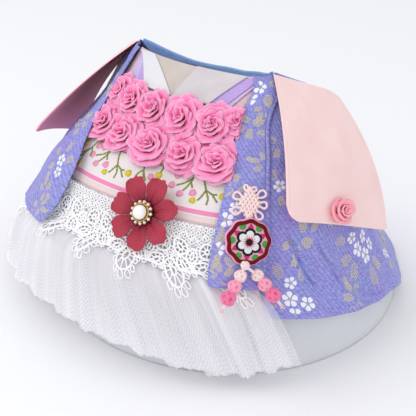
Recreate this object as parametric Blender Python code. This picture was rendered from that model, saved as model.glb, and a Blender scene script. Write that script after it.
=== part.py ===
"""A small pet's hanfu cape, resting on its round display form.

The script works in millimetres and turns them to metres when it makes a mesh. +Z is up, -Y is the
front and +X is the wearer's left, which is the viewer's right. The origin is the middle of the form's
underside.

Every cloth follows one surface, the lie of the cloth, which runs through six named sections from the
neck to the hem. A point on it has an angle round the section (0 at the front, +90 at the wearer's left)
and a station (0 at the neck, 5 at the hem). A piece is a wall over a patch of that surface, moved out by
its own layer, so neighbours stay a seam's gap apart.
"""

import math

import bmesh
import bpy
from mathutils import Vector
from mathutils.geometry import delaunay_2d_cdt

MM = 0.001
GAP = 0.35
CLOTH = 1.0
THIN = 0.8

# The sections of the cloth, from the neck to the hem, in mm
SECTION_COLUMNS = (
    "half_width",
    "front_y",
    "wide_y",
    "back_y",
    "front_z",
    "side_z",
    "back_z",
    "square",
    "right_in",
)
SECTIONS = {
    "neck": (56, -39, -32, -21, 182, 186, 172, 2.0, 0),
    "shoulder": (90, -62, -6, 3, 164, 167, 161, 2.0, 5),
    "chest": (105, -88, -11, 35, 137, 143, 134, 2.2, 11),
    "waist": (118.5, -115, -17, 63, 112, 113, 104, 2.5, 6),
    "hip": (124, -132, -24, 90, 84, 74, 62, 2.3, 0),
    "hem": (146, -148, -22, 141.5, 60, 25, 2, 2.05, 0),
}
BACK_DROP = 0.65  # how far round the back the side's height reaches, as a cosine
RIGHT_IN_FROM, RIGHT_IN_OVER = 0.5, 0.4  # where the wearer's right side is drawn in, as a sine

# Seam lines: the angle of each at the six sections, in degrees
LAPEL_INNER = (52, 32.5, 31.7, 31.5, 32, 32)
LAPEL_INNER_RIGHT = (60, 37, 31, 22, 24, 30)
LAPEL_SEAM = (75, 46.2, 45.5, 46.4, 47.6, 46.5)
SIDE_SEAM = (116, 116, 117, 118, 118, 118)

# Stations where pieces begin and end
HEM_FRONT, HEM_BACK = 4.86, 5.0
NECK_EDGE = 0.08
ROSE_TOP = 1.04
ROSE_BOTTOM = 2.27
PRINT_BOTTOM = 3.02
EDGING_BOTTOM = 3.13
LAPEL_BOTTOM = 4.28
UNDERSKIRT_BOTTOM = 4.72

# Layers over the lie of the cloth
LAYER_1 = CLOTH + GAP
LAYER_2 = LAYER_1 + THIN + GAP

# The skirt's rows. Columns: station, half angle round the body, lift, extra lift at the viewer's left
SKIRT = {
    "waist": (3.14, 37.5, 1.35, 0),
    "basque": (3.6, 38.5, 2.0, 0.3),
    "hip": (4.05, 40.5, 3.4, 1.0),
    "cape_hem": (4.6, 48.5, 6.0, 7),
}
# The tulle's hem. Columns: place across it (-1 to 1), azimuth in degrees, radius and height in mm
TULLE_HEM = (
    (-1.0, -57, 177, 26),
    (-0.8, -44, 171, 16),
    (-0.6, -31, 164, 21),
    (-0.4, -18, 158, 24),
    (-0.15, -4, 156, 23.5),
    (0.1, 11, 155, 22),
    (0.35, 24, 155, 15.5),
    (0.6, 36, 156, 13),
    (0.8, 43.5, 157, 14.5),
    (1.0, 52.7, 157, 16.5),
)
PLEATS = 12
PLEAT_COLUMNS = 48
PLEAT_DEPTH = 2.4
TULLE_WALL = 0.9
TULLE_GAP = 0.85
LACE_REACH = 0.74
LACE_SCALLOPS = 5


def mix(a, b, t):
    return a + (b - a) * t


def smoothstep(x):
    x = min(max(x, 0.0), 1.0)
    return x * x * (3 - 2 * x)


def spline(values, at):
    """A Catmull-Rom curve through evenly spaced values, straight past its ends."""
    last = len(values) - 1
    i = min(max(int(math.floor(at)), 0), last - 1)
    t = at - i
    b, c = values[i], values[i + 1]
    a = values[i - 1] if i > 0 else 2 * b - c
    d = values[i + 2] if i + 2 <= last else 2 * c - b
    return 0.5 * (
        2 * b + (c - a) * t + (2 * a - 5 * b + 4 * c - d) * t * t + (3 * b - a - 3 * c + d) * t**3
    )


def table_at(rows, column, at):
    """A column of a table, read between its rows by its first column with a smooth curve."""
    keys = [row[0] for row in rows]
    i = max(k for k in range(len(keys)) if keys[k] <= at or k == 0)
    i = min(i, len(keys) - 2)
    t = (at - keys[i]) / (keys[i + 1] - keys[i])
    return spline([row[column] for row in rows], i + t)


SECTION_TABLE = {
    name: [row[i] for row in SECTIONS.values()] for i, name in enumerate(SECTION_COLUMNS)
}


def skin(angle, station):
    """A point on the lie of the cloth."""
    size = {name: spline(column, station) for name, column in SECTION_TABLE.items()}
    s = math.sin(math.radians(angle))
    c = math.cos(math.radians(angle))
    square = size["square"] if c > 0 else 2.0
    reach = (abs(s) ** square + abs(c) ** square) ** (-1 / square)
    if c > 0:
        y = mix(size["wide_y"], size["front_y"], reach * c)
        z = mix(size["side_z"], size["front_z"], c)
    else:
        y = mix(size["wide_y"], size["back_y"], -reach * c)
        z = mix(size["side_z"], size["back_z"], smoothstep(-c / BACK_DROP))
    drawn_in = size["right_in"] * smoothstep((-s - RIGHT_IN_FROM) / RIGHT_IN_OVER)
    return Vector((size["half_width"] * reach * s + drawn_in, y, z))


def out_of(surface, a, b, da, db):
    """The outward normal of a surface whose first number runs to the wearer's left and second runs down."""
    along = surface(a + da, b) - surface(a - da, b)
    down = surface(a, b + db) - surface(a, b - db)
    return down.cross(along).normalized()


def lie(angle, station, out=0.0):
    return skin(angle, station) + out_of(skin, angle, station, 0.2, 0.01) * out


# The cape's largest folds, the same on both sides
# Columns: angle and station where it starts, angle and station where it ends, width, height
CAPE_FOLDS = (
    (48, 3.1, 64, 4.9, 4.5, 2.2),
    (62, 3.0, 78, 4.9, 4.0, 1.8),
    (84, 3.0, 92, 4.9, 5.0, 1.6),
    (104, 2.0, 106, 4.9, 6.0, 2.0),
    (134, 2.2, 138, 4.9, 6.5, 2.2),
    (162, 2.0, 165, 4.9, 7.0, 2.0),
)


def cape_rise(angle, station):
    """How far the cape's folds stand off, the same on both sides."""
    rise = 0.0
    for a0, s0, a1, s1, width, height in CAPE_FOLDS:
        t = (station - s0) / (s1 - s0)
        if t <= 0:
            continue
        t = min(t, 1.0)
        off = (abs(angle) - mix(a0, a1, t)) / width
        rise += height * smoothstep(t * 2) * math.exp(-off * off)
    return rise


def cape(angle, down):
    """A point of the cape: down is 0 at the neck and 1 at the hem, which dips behind the side seams."""
    hem = mix(HEM_FRONT, HEM_BACK, smoothstep((abs(angle) - 85) / 33))
    station = mix(0.02, hem, down)
    return lie(angle, station, cape_rise(angle, station))


def new_object(name, bm, colour, roughness, metallic=0.0):
    bmesh.ops.recalc_face_normals(bm, faces=bm.faces)
    if bm.calc_volume(signed=True) < 0:
        bmesh.ops.reverse_faces(bm, faces=bm.faces)
    mesh = bpy.data.meshes.new(name)
    bm.to_mesh(mesh)
    bm.free()
    mesh.shade_smooth()
    mesh.set_sharp_from_angle(angle=math.radians(50))
    obj = bpy.data.objects.new(name, mesh)
    bpy.context.scene.collection.objects.link(obj)
    material = bpy.data.materials.new(name)
    material.use_nodes = True
    shader = material.node_tree.nodes["Principled BSDF"]
    shader.inputs["Base Color"].default_value = (*colour, 1.0)
    shader.inputs["Roughness"].default_value = roughness
    shader.inputs["Metallic"].default_value = metallic
    mesh.materials.append(material)
    return obj


def thicken(name, points, faces, thickness, colour, roughness):
    """A closed wall from a sheet: points in mm, each with its outward normal, and faces of point numbers.

    thickness is a number, or a list with one for each point.
    """
    if not isinstance(thickness, list):
        thickness = [thickness] * len(points)
    bm = bmesh.new()
    inner = [bm.verts.new(point * MM) for point, normal in points]
    outer = [bm.verts.new((point + normal * thick) * MM) for (point, normal), thick in zip(points, thickness)]
    uses = {}
    for face in faces:
        bm.faces.new([outer[i] for i in face])
        bm.faces.new([inner[i] for i in reversed(face)])
        for a, b in zip(face, face[1:] + face[:1]):
            uses.setdefault(frozenset((a, b)), []).append((a, b))
    for found in uses.values():
        if len(found) == 1:
            a, b = found[0]
            bm.faces.new((outer[b], outer[a], inner[a], inner[b]))
    return new_object(name, bm, colour, roughness)


def sheet_normal(place, s, t):
    step = 0.004
    return out_of(place, s, t, step, step)


def wall(name, place, columns, rows, thickness, colour, roughness=0.8, relief=None):
    """A wall over place(s, t), with s and t from 0 to 1. relief(s, t) raises its outer points alone."""
    points = []
    thick = []
    for i in range(rows + 1):
        for j in range(columns + 1):
            s, t = j / columns, i / rows
            points.append((place(s, t), sheet_normal(place, s, t)))
            thick.append(thickness + (relief(s, t) if relief else 0.0))
    faces = []
    for i in range(rows):
        for j in range(columns):
            a = i * (columns + 1) + j
            faces.append([a, a + columns + 1, a + columns + 2, a + 1])
    return thicken(name, points, faces, thick, colour, roughness)


def inside(point, outline):
    """Whether a flat point lies inside an outline."""
    x, y = point
    found = False
    for (x0, y0), (x1, y1) in zip(outline, outline[1:] + outline[:1]):
        if (y0 > y) != (y1 > y) and x < (x1 - x0) * (y - y0) / (y1 - y0) + x0:
            found = not found
    return found


def cut_wall(name, place, outline, holes, fill, thickness, colour, roughness=0.8):
    """A wall over the part of place(a, b) inside an outline and outside its holes.

    fill holds inner points, which keep its triangles small on the curved surface.
    """
    loops = [outline] + holes
    flat = []
    edges = []
    for loop in loops:
        start = len(flat)
        flat += loop
        edges += [(start + i, start + (i + 1) % len(loop)) for i in range(len(loop))]
    flat += fill
    verts, _, tris, *_ = delaunay_2d_cdt([Vector(p) for p in flat], edges, [], 0, 1e-6)
    faces = []
    for tri in tris:
        middle = [sum(verts[i][k] for i in tri) / 3 for k in (0, 1)]
        if inside(middle, outline) and not any(inside(middle, hole) for hole in holes):
            faces.append(list(tri))
    used = sorted({i for face in faces for i in face})
    number = {old: new for new, old in enumerate(used)}
    points = []
    for i in used:
        a, b = verts[i]
        points.append((place(a, b), out_of(place, a, b, 0.004, 0.004)))
    faces = [[number[i] for i in face] for face in faces]
    return thicken(name, points, faces, thickness, colour, roughness)


def grid_in(outline, columns, rows, margin=0.02):
    """Evenly spaced points inside an outline, none close to its edge."""
    xs = [p[0] for p in outline]
    ys = [p[1] for p in outline]
    found = []
    for i in range(1, rows):
        for j in range(1, columns):
            x = mix(min(xs), max(xs), j / columns)
            y = mix(min(ys), max(ys), i / rows)
            near = ((x + dx, y + dy) for dx in (-margin, margin) for dy in (-margin, margin))
            if all(inside(p, outline) for p in near):
                found.append((x, y))
    return found


def split_edges(outline, parts):
    """The outline with each side split, so that it can follow a curved surface."""
    points = []
    for (x0, y0), (x1, y1) in zip(outline, outline[1:] + outline[:1]):
        points += [(mix(x0, x1, k / parts), mix(y0, y1, k / parts)) for k in range(parts)]
    return points


# The display form
# One smooth hard shape: it follows the cloth from inside and ends in a round flat foot
FORM_COLOUR = (0.58, 0.59, 0.62)
FORM_RINGS = ((0.76, 4.2), (0.92, 2.6), (1.15, 1.6), (1.6, 1.3), (2.2, 1.1), (2.8, 1.0), (3.3, 1.6), (3.8, 3.0))
# The foot's rings. Columns: height, half width, and y of the front, of the widest place and of the back
FORM_FOOT = (
    (60, 119.5, -130, -22, 88.5),
    (46, 128.5, -135, -22, 99),
    (20, 136, -139.5, -18, 117.5),
    (8, 139.5, -141, -12, 126),
    (0, 140, -140, -8, 130),
)
FORM_SIDES = 40
FORM_TOP_RISE = 1.2


def build_form():
    bm = bmesh.new()
    rings = []
    angles = [360 * i / FORM_SIDES for i in range(FORM_SIDES)]
    for station, inset in FORM_RINGS:
        rings.append([lie(angle, station, -inset) for angle in angles])
    for height, half_width, front_y, wide_y, back_y in FORM_FOOT:
        ring = []
        for angle in angles:
            c = math.cos(math.radians(angle))
            y = mix(wide_y, front_y if c > 0 else back_y, abs(c))
            ring.append(Vector((half_width * math.sin(math.radians(angle)), y, height)))
        rings.append(ring)
    verts = [[bm.verts.new(point * MM) for point in ring] for ring in rings]
    for upper, lower in zip(verts, verts[1:]):
        for i in range(FORM_SIDES):
            j = (i + 1) % FORM_SIDES
            bm.faces.new((upper[i], lower[i], lower[j], upper[j]))
    middle = sum(rings[0], Vector()) / FORM_SIDES + Vector((0, 0, FORM_TOP_RISE))
    top = bm.verts.new(middle * MM)
    for i in range(FORM_SIDES):
        bm.faces.new((verts[0][i], verts[0][(i + 1) % FORM_SIDES], top))
    bm.faces.new(verts[-1])
    new_object("display_form", bm, FORM_COLOUR, 0.45)


# Blue brocade: the cape's back and sides, and the two lapels
BROCADE = (0.30, 0.33, 0.72)
SEAM_TURN = 0.35  # half of the seam's gap, as an angle


def build_cape():
    side = {1: "cape_left", -1: "cape_right"}

    def back(s, t):
        edge = spline(SIDE_SEAM, t * HEM_BACK) + SEAM_TURN
        return cape(mix(edge, 360 - edge, s) - 360 * (s > 0.5), t)

    wall("cape_back", back, 18, 11, CLOTH, BROCADE)
    for hand, name in side.items():

        def panel(s, t, hand=hand):
            front = spline(LAPEL_SEAM, t * HEM_FRONT) - 0.8
            rear = spline(SIDE_SEAM, t * HEM_BACK)
            across = s if hand > 0 else 1 - s
            return cape(hand * mix(front, rear, across), t)

        wall(name, panel, 14, 11, CLOTH, BROCADE)


# How far each lapel stands off the lie, at its inner edge and at its seam, at the six sections
LAPEL_OFF = {
    1: ((3.6, 3.8, 4.2, 6.0, 11.0, 14.0), (1.5, 1.5, 1.5, 1.8, 5.5, 9.0)),
    -1: ((4.0, 5.0, 7.0, 9.5, 14.8, 18.0), (1.5, 1.5, 1.6, 2.8, 11.2, 16.5)),
}
LAPEL_WALL = 1.2
LAPEL_CURVE = 2.5


def lapel(hand, s, t, out=0.0):
    """A point of a lapel: s is 0 at its inner edge and 1 at its seam."""
    station = mix(0.03, LAPEL_BOTTOM, t)
    inner, seam = LAPEL_OFF[hand]
    off = mix(spline(inner, station), spline(seam, station), max(s, 0) ** LAPEL_CURVE)
    inner_line = LAPEL_INNER if hand > 0 else LAPEL_INNER_RIGHT
    angle = mix(spline(inner_line, station), spline(LAPEL_SEAM, station), s)
    return lie(hand * angle, station, off + out)


def build_lapels():
    for hand, name in ((1, "lapel_left"), (-1, "lapel_right")):
        wall(
            name,
            lambda s, t, hand=hand: lapel(hand, s if hand > 0 else 1 - s, t),
            5,
            16,
            LAPEL_WALL,
            BROCADE,
        )


# The sky-blue satin band that stands along the back of the neck
BINDING = (0.27, 0.42, 0.72)
BINDING_FROM, BINDING_TO = 104, 258
BINDING_TOP = (185.8, 182.6, 180.8, 178.4, 177.6, 176.4, 176.4, 178.5, 181.5, 185.0, 187.4)
BINDING_IN, BINDING_RAISED = 0.6, 1.3
BINDING_WALL = 2.2


def build_neck_binding():
    def place(s, t):
        angle = mix(BINDING_FROM, BINDING_TO, s)
        foot = lie(angle, -0.03, -BINDING_IN) + Vector((0, 0, BINDING_RAISED))
        top = Vector((foot.x, foot.y, spline(BINDING_TOP, s * (len(BINDING_TOP) - 1))))
        return top.lerp(foot, t)

    wall("neck_binding", place, 20, 2, BINDING_WALL, BINDING, 0.5)


# The bib, and the collar pieces, rose trim and print band that lie on it
PALE_PINK = (0.80, 0.62, 0.64)
BIB_EXTRA = 1.5


def build_bib():
    def place(s, t):
        station = mix(NECK_EDGE, PRINT_BOTTOM, t)
        edge = (spline(LAPEL_INNER, station) + spline(LAPEL_SEAM, station)) / 2 + BIB_EXTRA
        return lie(mix(-edge, edge, s), station)

    wall("bib_panel", place, 16, 9, CLOTH, PALE_PINK)


# Each collar piece: its layer, colour, and corners as (x in mm, station)
COLLAR = {
    "collar_beige": (LAYER_1, (0.60, 0.53, 0.47), ((-38, 0.1), (6, 0.1), (-4, 0.97))),
    "collar_white": (LAYER_2, (0.80, 0.80, 0.80), ((-51, 0.12), (-36, 0.1), (-4.2, 1.0), (-30.5, 1.0))),
    "collar_grey": (LAYER_2, (0.66, 0.64, 0.65), ((3, 0.1), (42, 0.1), (25, 1.0), (-3.6, 1.0))),
    "collar_lilac_right": (
        LAYER_1,
        (0.46, 0.34, 0.66),
        ((-50.5, 0.22), (-44.5, 0.13), (-28, 1.0), (-44, 1.0), (-54, 0.7)),
    ),
    "collar_lilac_left": (
        LAYER_1,
        (0.46, 0.34, 0.66),
        ((39, 0.12), (50, 0.16), (50, 0.55), (39, 1.0), (22, 1.0)),
    ),
}


def at_width(x, station, out):
    """The point of the cloth's front that lies x to the wearer's left."""
    reach = min(max(x / spline(SECTION_TABLE["half_width"], station), -0.98), 0.98)
    return lie(math.degrees(math.asin(reach)), station, out)


def build_collar():
    for name, (layer, colour, corners) in COLLAR.items():
        outline = split_edges([(x / 50, station) for x, station in corners], 4)
        cut_wall(
            name,
            lambda a, b, layer=layer: at_width(a * 50, b, layer),
            outline,
            [],
            grid_in(outline, 6, 5, 0.05),
            THIN,
            colour,
        )


# Two rows of chiffon rosettes on a net band
ROSE = (0.86, 0.30, 0.50)
ROSETTE_ACROSS = 5
ROSETTE_ROWS = 2
ROSETTE_HEIGHT = 7.0
ROSETTE_BASE = 1.6


def rosette_relief(s, t):
    """Height of the trim: a ring of petals round a bud in each cell, sunk where the rosettes meet."""
    across = s * ROSETTE_ACROSS
    down = t * ROSETTE_ROWS
    x = (across - math.floor(min(across, ROSETTE_ACROSS - 1e-6)) - 0.5) * 2
    y = (down - math.floor(min(down, ROSETTE_ROWS - 1e-6)) - 0.5) * 2
    r = math.hypot(x, y)
    turn = math.atan2(y, x)
    if r >= 1.15:
        return 0.0
    dome = math.sqrt(max(0.0, 1 - (r / 1.15) ** 2))
    groove = 0.25 * math.exp(-(((r - 0.42) / 0.14) ** 2))
    petals = 0.12 * math.cos(5 * turn + 4 * r) * smoothstep(r / 0.5)
    return ROSETTE_BASE * smoothstep((1.15 - r) * 4) + ROSETTE_HEIGHT * dome * (0.8 - groove + petals)


def build_rose_trim():
    def place(s, t):
        station = mix(ROSE_TOP, ROSE_BOTTOM, t)
        edge = spline(LAPEL_INNER, station) - 0.6
        return lie(mix(-edge, edge, s), station, LAYER_1)

    wall("rose_trim", place, 30, 12, CLOTH, ROSE, 0.9, rosette_relief)


PRINT_CLOTH = (0.76, 0.70, 0.69)
EDGING = (0.72, 0.58, 0.57)


def build_waist_bands():
    for name, top, bottom, rows, colour in (
        ("print_band", ROSE_BOTTOM + 0.015, PRINT_BOTTOM, 4, PRINT_CLOTH),
        ("waist_edging", PRINT_BOTTOM + 0.015, EDGING_BOTTOM, 1, EDGING),
    ):

        def place(s, t, top=top, bottom=bottom):
            station = mix(top, bottom, t)
            edge = spline(LAPEL_INNER, station) + 5
            return lie(mix(-edge, edge, s), station, LAYER_1)

        wall(name, place, 14, rows, CLOTH, colour)


# The underskirt, in the bib's layer, between the cape's two front edges
UNDERSKIRT = (0.78, 0.60, 0.68)


def build_underskirt():
    def place(s, t):
        station = mix(PRINT_BOTTOM + 0.015, UNDERSKIRT_BOTTOM, t)
        edge = spline(LAPEL_SEAM, station) - 1.6
        return lie(mix(-edge, edge, s), station)

    wall("underskirt", place, 16, 6, THIN, UNDERSKIRT)


# The tulle skirt: a smooth surface from the waist to the hem, with pleats laid over it
TULLE = (0.78, 0.77, 0.80)


def skirt_surface(across, down):
    """The skirt without its pleats: across from -1 to 1, down from 0 to 1."""
    flare_side = smoothstep((-across - 0.2) / 0.8)
    points = []
    for station, half_angle, lift, left_flare in SKIRT.values():
        points.append(lie(half_angle * across, station, lift + left_flare * flare_side))
    azimuth = math.radians(table_at(TULLE_HEM, 1, across))
    radius = table_at(TULLE_HEM, 2, across)
    height = table_at(TULLE_HEM, 3, across)
    points.append(Vector((radius * math.sin(azimuth), -radius * math.cos(azimuth), height)))
    return spline(points, down * (len(points) - 1))


def pleat(across, down):
    """How far the pleats move the skirt out: none at the waist, deepest at the hem."""
    turn = 2 * math.pi * PLEATS * (across / 2 + 0.012 * math.sin(7 * across))
    uneven = 0.8 + 0.3 * math.sin(5.3 * across + 1) * math.cos(2.1 * across)
    side = smoothstep((1 - abs(across)) * 8)
    flare = 1 + 0.5 * smoothstep((-across - 0.3) / 0.5)
    grow = smoothstep((down - 0.25) / 0.75)
    return PLEAT_DEPTH * uneven * flare * grow * side * math.cos(turn)


def skirt(across, down, out):
    normal = out_of(skirt_surface, across, down, 0.01, 0.01)
    return skirt_surface(across, down) + normal * (out + pleat(across, down))


TULLE_LAYERS = {
    # out, first and last of the pleat columns
    "tulle_under": (0.0, 1, 48),
    "tulle_outer": (TULLE_WALL + TULLE_GAP, 0, 43),
}
TULLE_ROWS = 7
LACE_OUT = 2 * (TULLE_WALL + TULLE_GAP) + 0.3


def build_tulle():
    for name, (out, first, last) in TULLE_LAYERS.items():

        def place(s, t, out=out, first=first, last=last):
            return skirt(mix(first, last, s) * 2 / PLEAT_COLUMNS - 1, t, out)

        wall(name, place, last - first, TULLE_ROWS, TULLE_WALL, TULLE)


# The guipure lace: scallops with drop-shaped gaps, in the skirt's own points moved out
LACE = (0.86, 0.86, 0.86)
LACE_FIRST, LACE_LAST = -0.95, 0.9
LACE_WALL = 1.0
LACE_FILL = ((0.03, 0.45), (0.97, 0.45), (0.03, 0.6), (0.97, 0.6), (0.36, 0.5), (0.64, 0.5), (0.5, 0.42))
# Gaps of one scallop. Columns: middle across (-1 to 1), middle down, half width, half height, lean
LACE_GAPS = (
    (0.0, 0.80, 0.13, 0.115, 0.0),
    (-0.42, 0.66, 0.12, 0.085, 1.1),
    (0.42, 0.66, 0.12, 0.085, -1.1),
    (-0.62, 0.40, 0.13, 0.060, 0.5),
    (0.62, 0.40, 0.13, 0.060, -0.5),
    (-0.25, 0.32, 0.11, 0.060, 0.0),
    (0.25, 0.32, 0.11, 0.060, 0.0),
    (0.0, 0.53, 0.10, 0.055, 0.0),
)
# Lobes of one scallop's edge: middle across, half width, reach down
LACE_LOBES = ((0.0, 0.34, 1.0), (-0.6, 0.36, 0.86), (0.6, 0.36, 0.86))
LACE_DIP = 0.70
LACE_STEPS = 16


def lace_foot(x):
    """How far down the edge reaches, by place across one scallop from -1 to 1."""
    foot = LACE_DIP
    for middle, half_width, reach in LACE_LOBES:
        off = (x - middle) / half_width
        if abs(off) < 1:
            foot = max(foot, LACE_DIP + (reach - LACE_DIP) * math.sqrt(1 - off * off))
    return foot


def lace_outline_and_gaps():
    """The lace flat: across in scallops, down from 0 to 1."""
    top = [(k / 6, 0.0) for k in range(6 * LACE_SCALLOPS + 1)]
    foot = []
    for k in range(LACE_STEPS * LACE_SCALLOPS, -1, -1):
        part = (k % LACE_STEPS) / LACE_STEPS
        foot.append((k / LACE_STEPS, lace_foot(2 * part - 1)))
    gaps = []
    for scallop in range(LACE_SCALLOPS):
        for across, down, half_width, half_height, lean in LACE_GAPS:
            loop = []
            for k in range(6):
                turn = math.pi * k / 3
                y = half_height * math.cos(turn)
                x = half_width * math.sin(turn) * (1 - 0.3 * math.cos(turn)) + lean * y
                loop.append((scallop + 0.5 + (across + x) / 2, down + y))
            gaps.append(loop)
    return top + foot, gaps


def build_lace():
    outline, gaps = lace_outline_and_gaps()
    fill = []
    for k in range(1, 6 * LACE_SCALLOPS):
        for down in (0.12, 0.22):
            fill.append((k / 6, down))
    for scallop in range(LACE_SCALLOPS):
        for x, down in LACE_FILL:
            fill.append((scallop + x, down))

    def place(a, b):
        across = mix(LACE_FIRST, LACE_LAST, a / LACE_SCALLOPS)
        return skirt(across, 0.004 + b * LACE_REACH, LACE_OUT)

    cut_wall("lace_trim", place, outline, gaps, fill, LACE_WALL, LACE, 0.9)


# The two satin flaps that stand for sleeves, each sewn along the shoulder
SATIN = (0.86, 0.62, 0.62)
FLAP_TOP = ((81, 0.03), (94, 1.0))  # angle and station of its two upper corners
FLAP_FOOT = (Vector((109, -98, 122)), Vector((140, -14, 85.5)))
FLAP_OFF = 1.45
FLAP_WALL = 1.8
FLAP_BULGE = {1: (4.0, 9.0), -1: (3.0, 5.5)}  # at its front edge and at its rear edge
FLAP_CORNER_FRONT, FLAP_CORNER_REAR = 0.13, 0.04


def flap(hand, s, t):
    """A point of a flap: s runs from its front edge to its rear edge, t from the shoulder down."""
    (a0, s0), (a1, s1) = FLAP_TOP
    top = lie(hand * mix(a0, a1, s), mix(s0, s1, s), FLAP_OFF)
    top.x *= hand
    foot = FLAP_FOOT[0].lerp(FLAP_FOOT[1], s)
    along = FLAP_FOOT[1] - FLAP_FOOT[0]
    out = (foot - top).cross(along).normalized()
    bulge = mix(*FLAP_BULGE[hand], s) * 4 * t * (1 - t) + 3.0 * math.sin(math.pi * s) * t
    point = top.lerp(foot, t) + out * bulge
    return Vector((hand * point.x, point.y, point.z))


def rounded_square(radius_left, radius_right, columns, rows):
    """The outline of a unit square, y down, with its two lower corners rounded."""
    points = [(k / columns, 0.0) for k in range(columns)]
    corners = ((1.0, 0.0), (1.0, 1.0 - radius_right))
    points += [(1.0, mix(corners[0][1], corners[1][1], k / rows)) for k in range(rows)]
    for k in range(5):
        turn = math.pi / 2 * k / 4
        points.append(
            (1 - radius_right * (1 - math.cos(turn)), 1 - radius_right * (1 - math.sin(turn)))
        )
    for k in range(1, columns):
        points.append((mix(1 - radius_right, radius_left, k / columns), 1.0))
    for k in range(5):
        turn = math.pi / 2 * k / 4
        points.append((radius_left * (1 - math.sin(turn)), 1 - radius_left * (1 - math.cos(turn))))
    points += [(0.0, mix(1 - radius_left, 0.0, k / rows)) for k in range(1, rows)]
    return points


def build_flaps():
    for hand, name in ((1, "flap_left"), (-1, "flap_right")):
        front, rear = FLAP_CORNER_FRONT, FLAP_CORNER_REAR
        corners = (front, rear) if hand > 0 else (rear, front)
        outline = rounded_square(*corners, 8, 8)
        cut_wall(
            name,
            lambda a, b, hand=hand: flap(hand, a if hand > 0 else 1 - a, b),
            outline,
            [],
            grid_in(outline, 8, 8),
            FLAP_WALL,
            SATIN,
            0.35,
        )


def frame_on(place, a, b):
    """A flat frame on a surface: its origin, and its sideways, downward and outward directions."""
    origin = place(a, b)
    out = out_of(place, a, b, 0.01, 0.01)
    down = (place(a, b + 0.01) - place(a, b - 0.01)).normalized()
    side = out.cross(down) * -1
    return origin, side, down, out


def boss(name, frame, lift, radius, top, spokes, rings, colour, roughness=0.6, metallic=0.0):
    """A round solid with a flat back, in a frame: radius(turn), and its height top(r, turn), with r 0 to 1."""
    origin, side, down, out = frame
    bm = bmesh.new()

    def ring_of(r, height):
        ring = []
        for k in range(spokes):
            turn = 2 * math.pi * k / spokes
            reach = radius(turn) * r
            flat = side * (reach * math.sin(turn)) - down * (reach * math.cos(turn))
            ring.append(bm.verts.new((origin + flat + out * (lift + height(r, turn))) * MM))
        return ring

    def face_of(height):
        middle = bm.verts.new((origin + out * (lift + height(0.0, 0.0))) * MM)
        loops = [ring_of(k / rings, height) for k in range(1, rings + 1)]
        for i in range(spokes):
            j = (i + 1) % spokes
            bm.faces.new((middle, loops[0][i], loops[0][j]))
            for near, far in zip(loops, loops[1:]):
                bm.faces.new((near[i], far[i], far[j], near[j]))
        return loops[-1]

    upper = face_of(top)
    lower = face_of(lambda r, turn: 0.0)
    for i in range(spokes):
        j = (i + 1) % spokes
        bm.faces.new((upper[i], upper[j], lower[j], lower[i]))
    return new_object(name, bm, colour, roughness, metallic)


def ball(name, centre, radius, colour, roughness=0.7, metallic=0.0):
    bm = bmesh.new()
    bmesh.ops.create_uvsphere(bm, u_segments=8, v_segments=6, radius=radius * MM)
    bmesh.ops.translate(bm, verts=bm.verts, vec=centre * MM)
    return new_object(name, bm, colour, roughness, metallic)


# The satin rose on the left-hand flap: one rolled strip
CORAL = (0.80, 0.17, 0.25)
SATIN_ROSE_RADIUS = 9.0
SATIN_ROSE_HEIGHT = 8.0
SATIN_ROSE_AT = (0.47, 0.91)


def build_satin_rose():
    def radius(turn):
        return SATIN_ROSE_RADIUS * (1 + 0.07 * math.cos(3 * turn + 0.6))

    def top(r, turn):
        roll = 0.12 * math.cos(2 * turn + 9 * r) * smoothstep(r * 3)
        return 1.2 + (SATIN_ROSE_HEIGHT - 1.2) * (math.sqrt(max(0.0, 1 - 0.92 * r * r)) + roll)

    frame = frame_on(lambda a, b: flap(1, a, b), *SATIN_ROSE_AT)
    boss("satin_rose", frame, FLAP_WALL + 0.5, radius, top, 20, 4, CORAL, 0.4)


# The brooch: seven notched petals, a gilt setting with its ring of stones, and a pearl
PETAL = (0.42, 0.08, 0.13)
GILT = (0.75, 0.52, 0.20)
PEARL = (0.84, 0.80, 0.76)
BROOCH_AT = (9.1, 3.2)  # angle and station
BROOCH_LIFT = 6.5
PETALS = 7
PETAL_LENGTH = 24.0
PETAL_ROOT = 3.6
PETAL_WIDTH = 9.0
PETAL_WALL = 1.0
PETAL_FIRST_TURN = -18.0
SETTING_RADIUS = 8.4
SETTING_CLEAR = 2.3
STONES = 13
PEARL_RADIUS = 4.9


def brooch_frame():
    return frame_on(lambda a, b: lie(a * 30, b), BROOCH_AT[0] / 30, BROOCH_AT[1])


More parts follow.
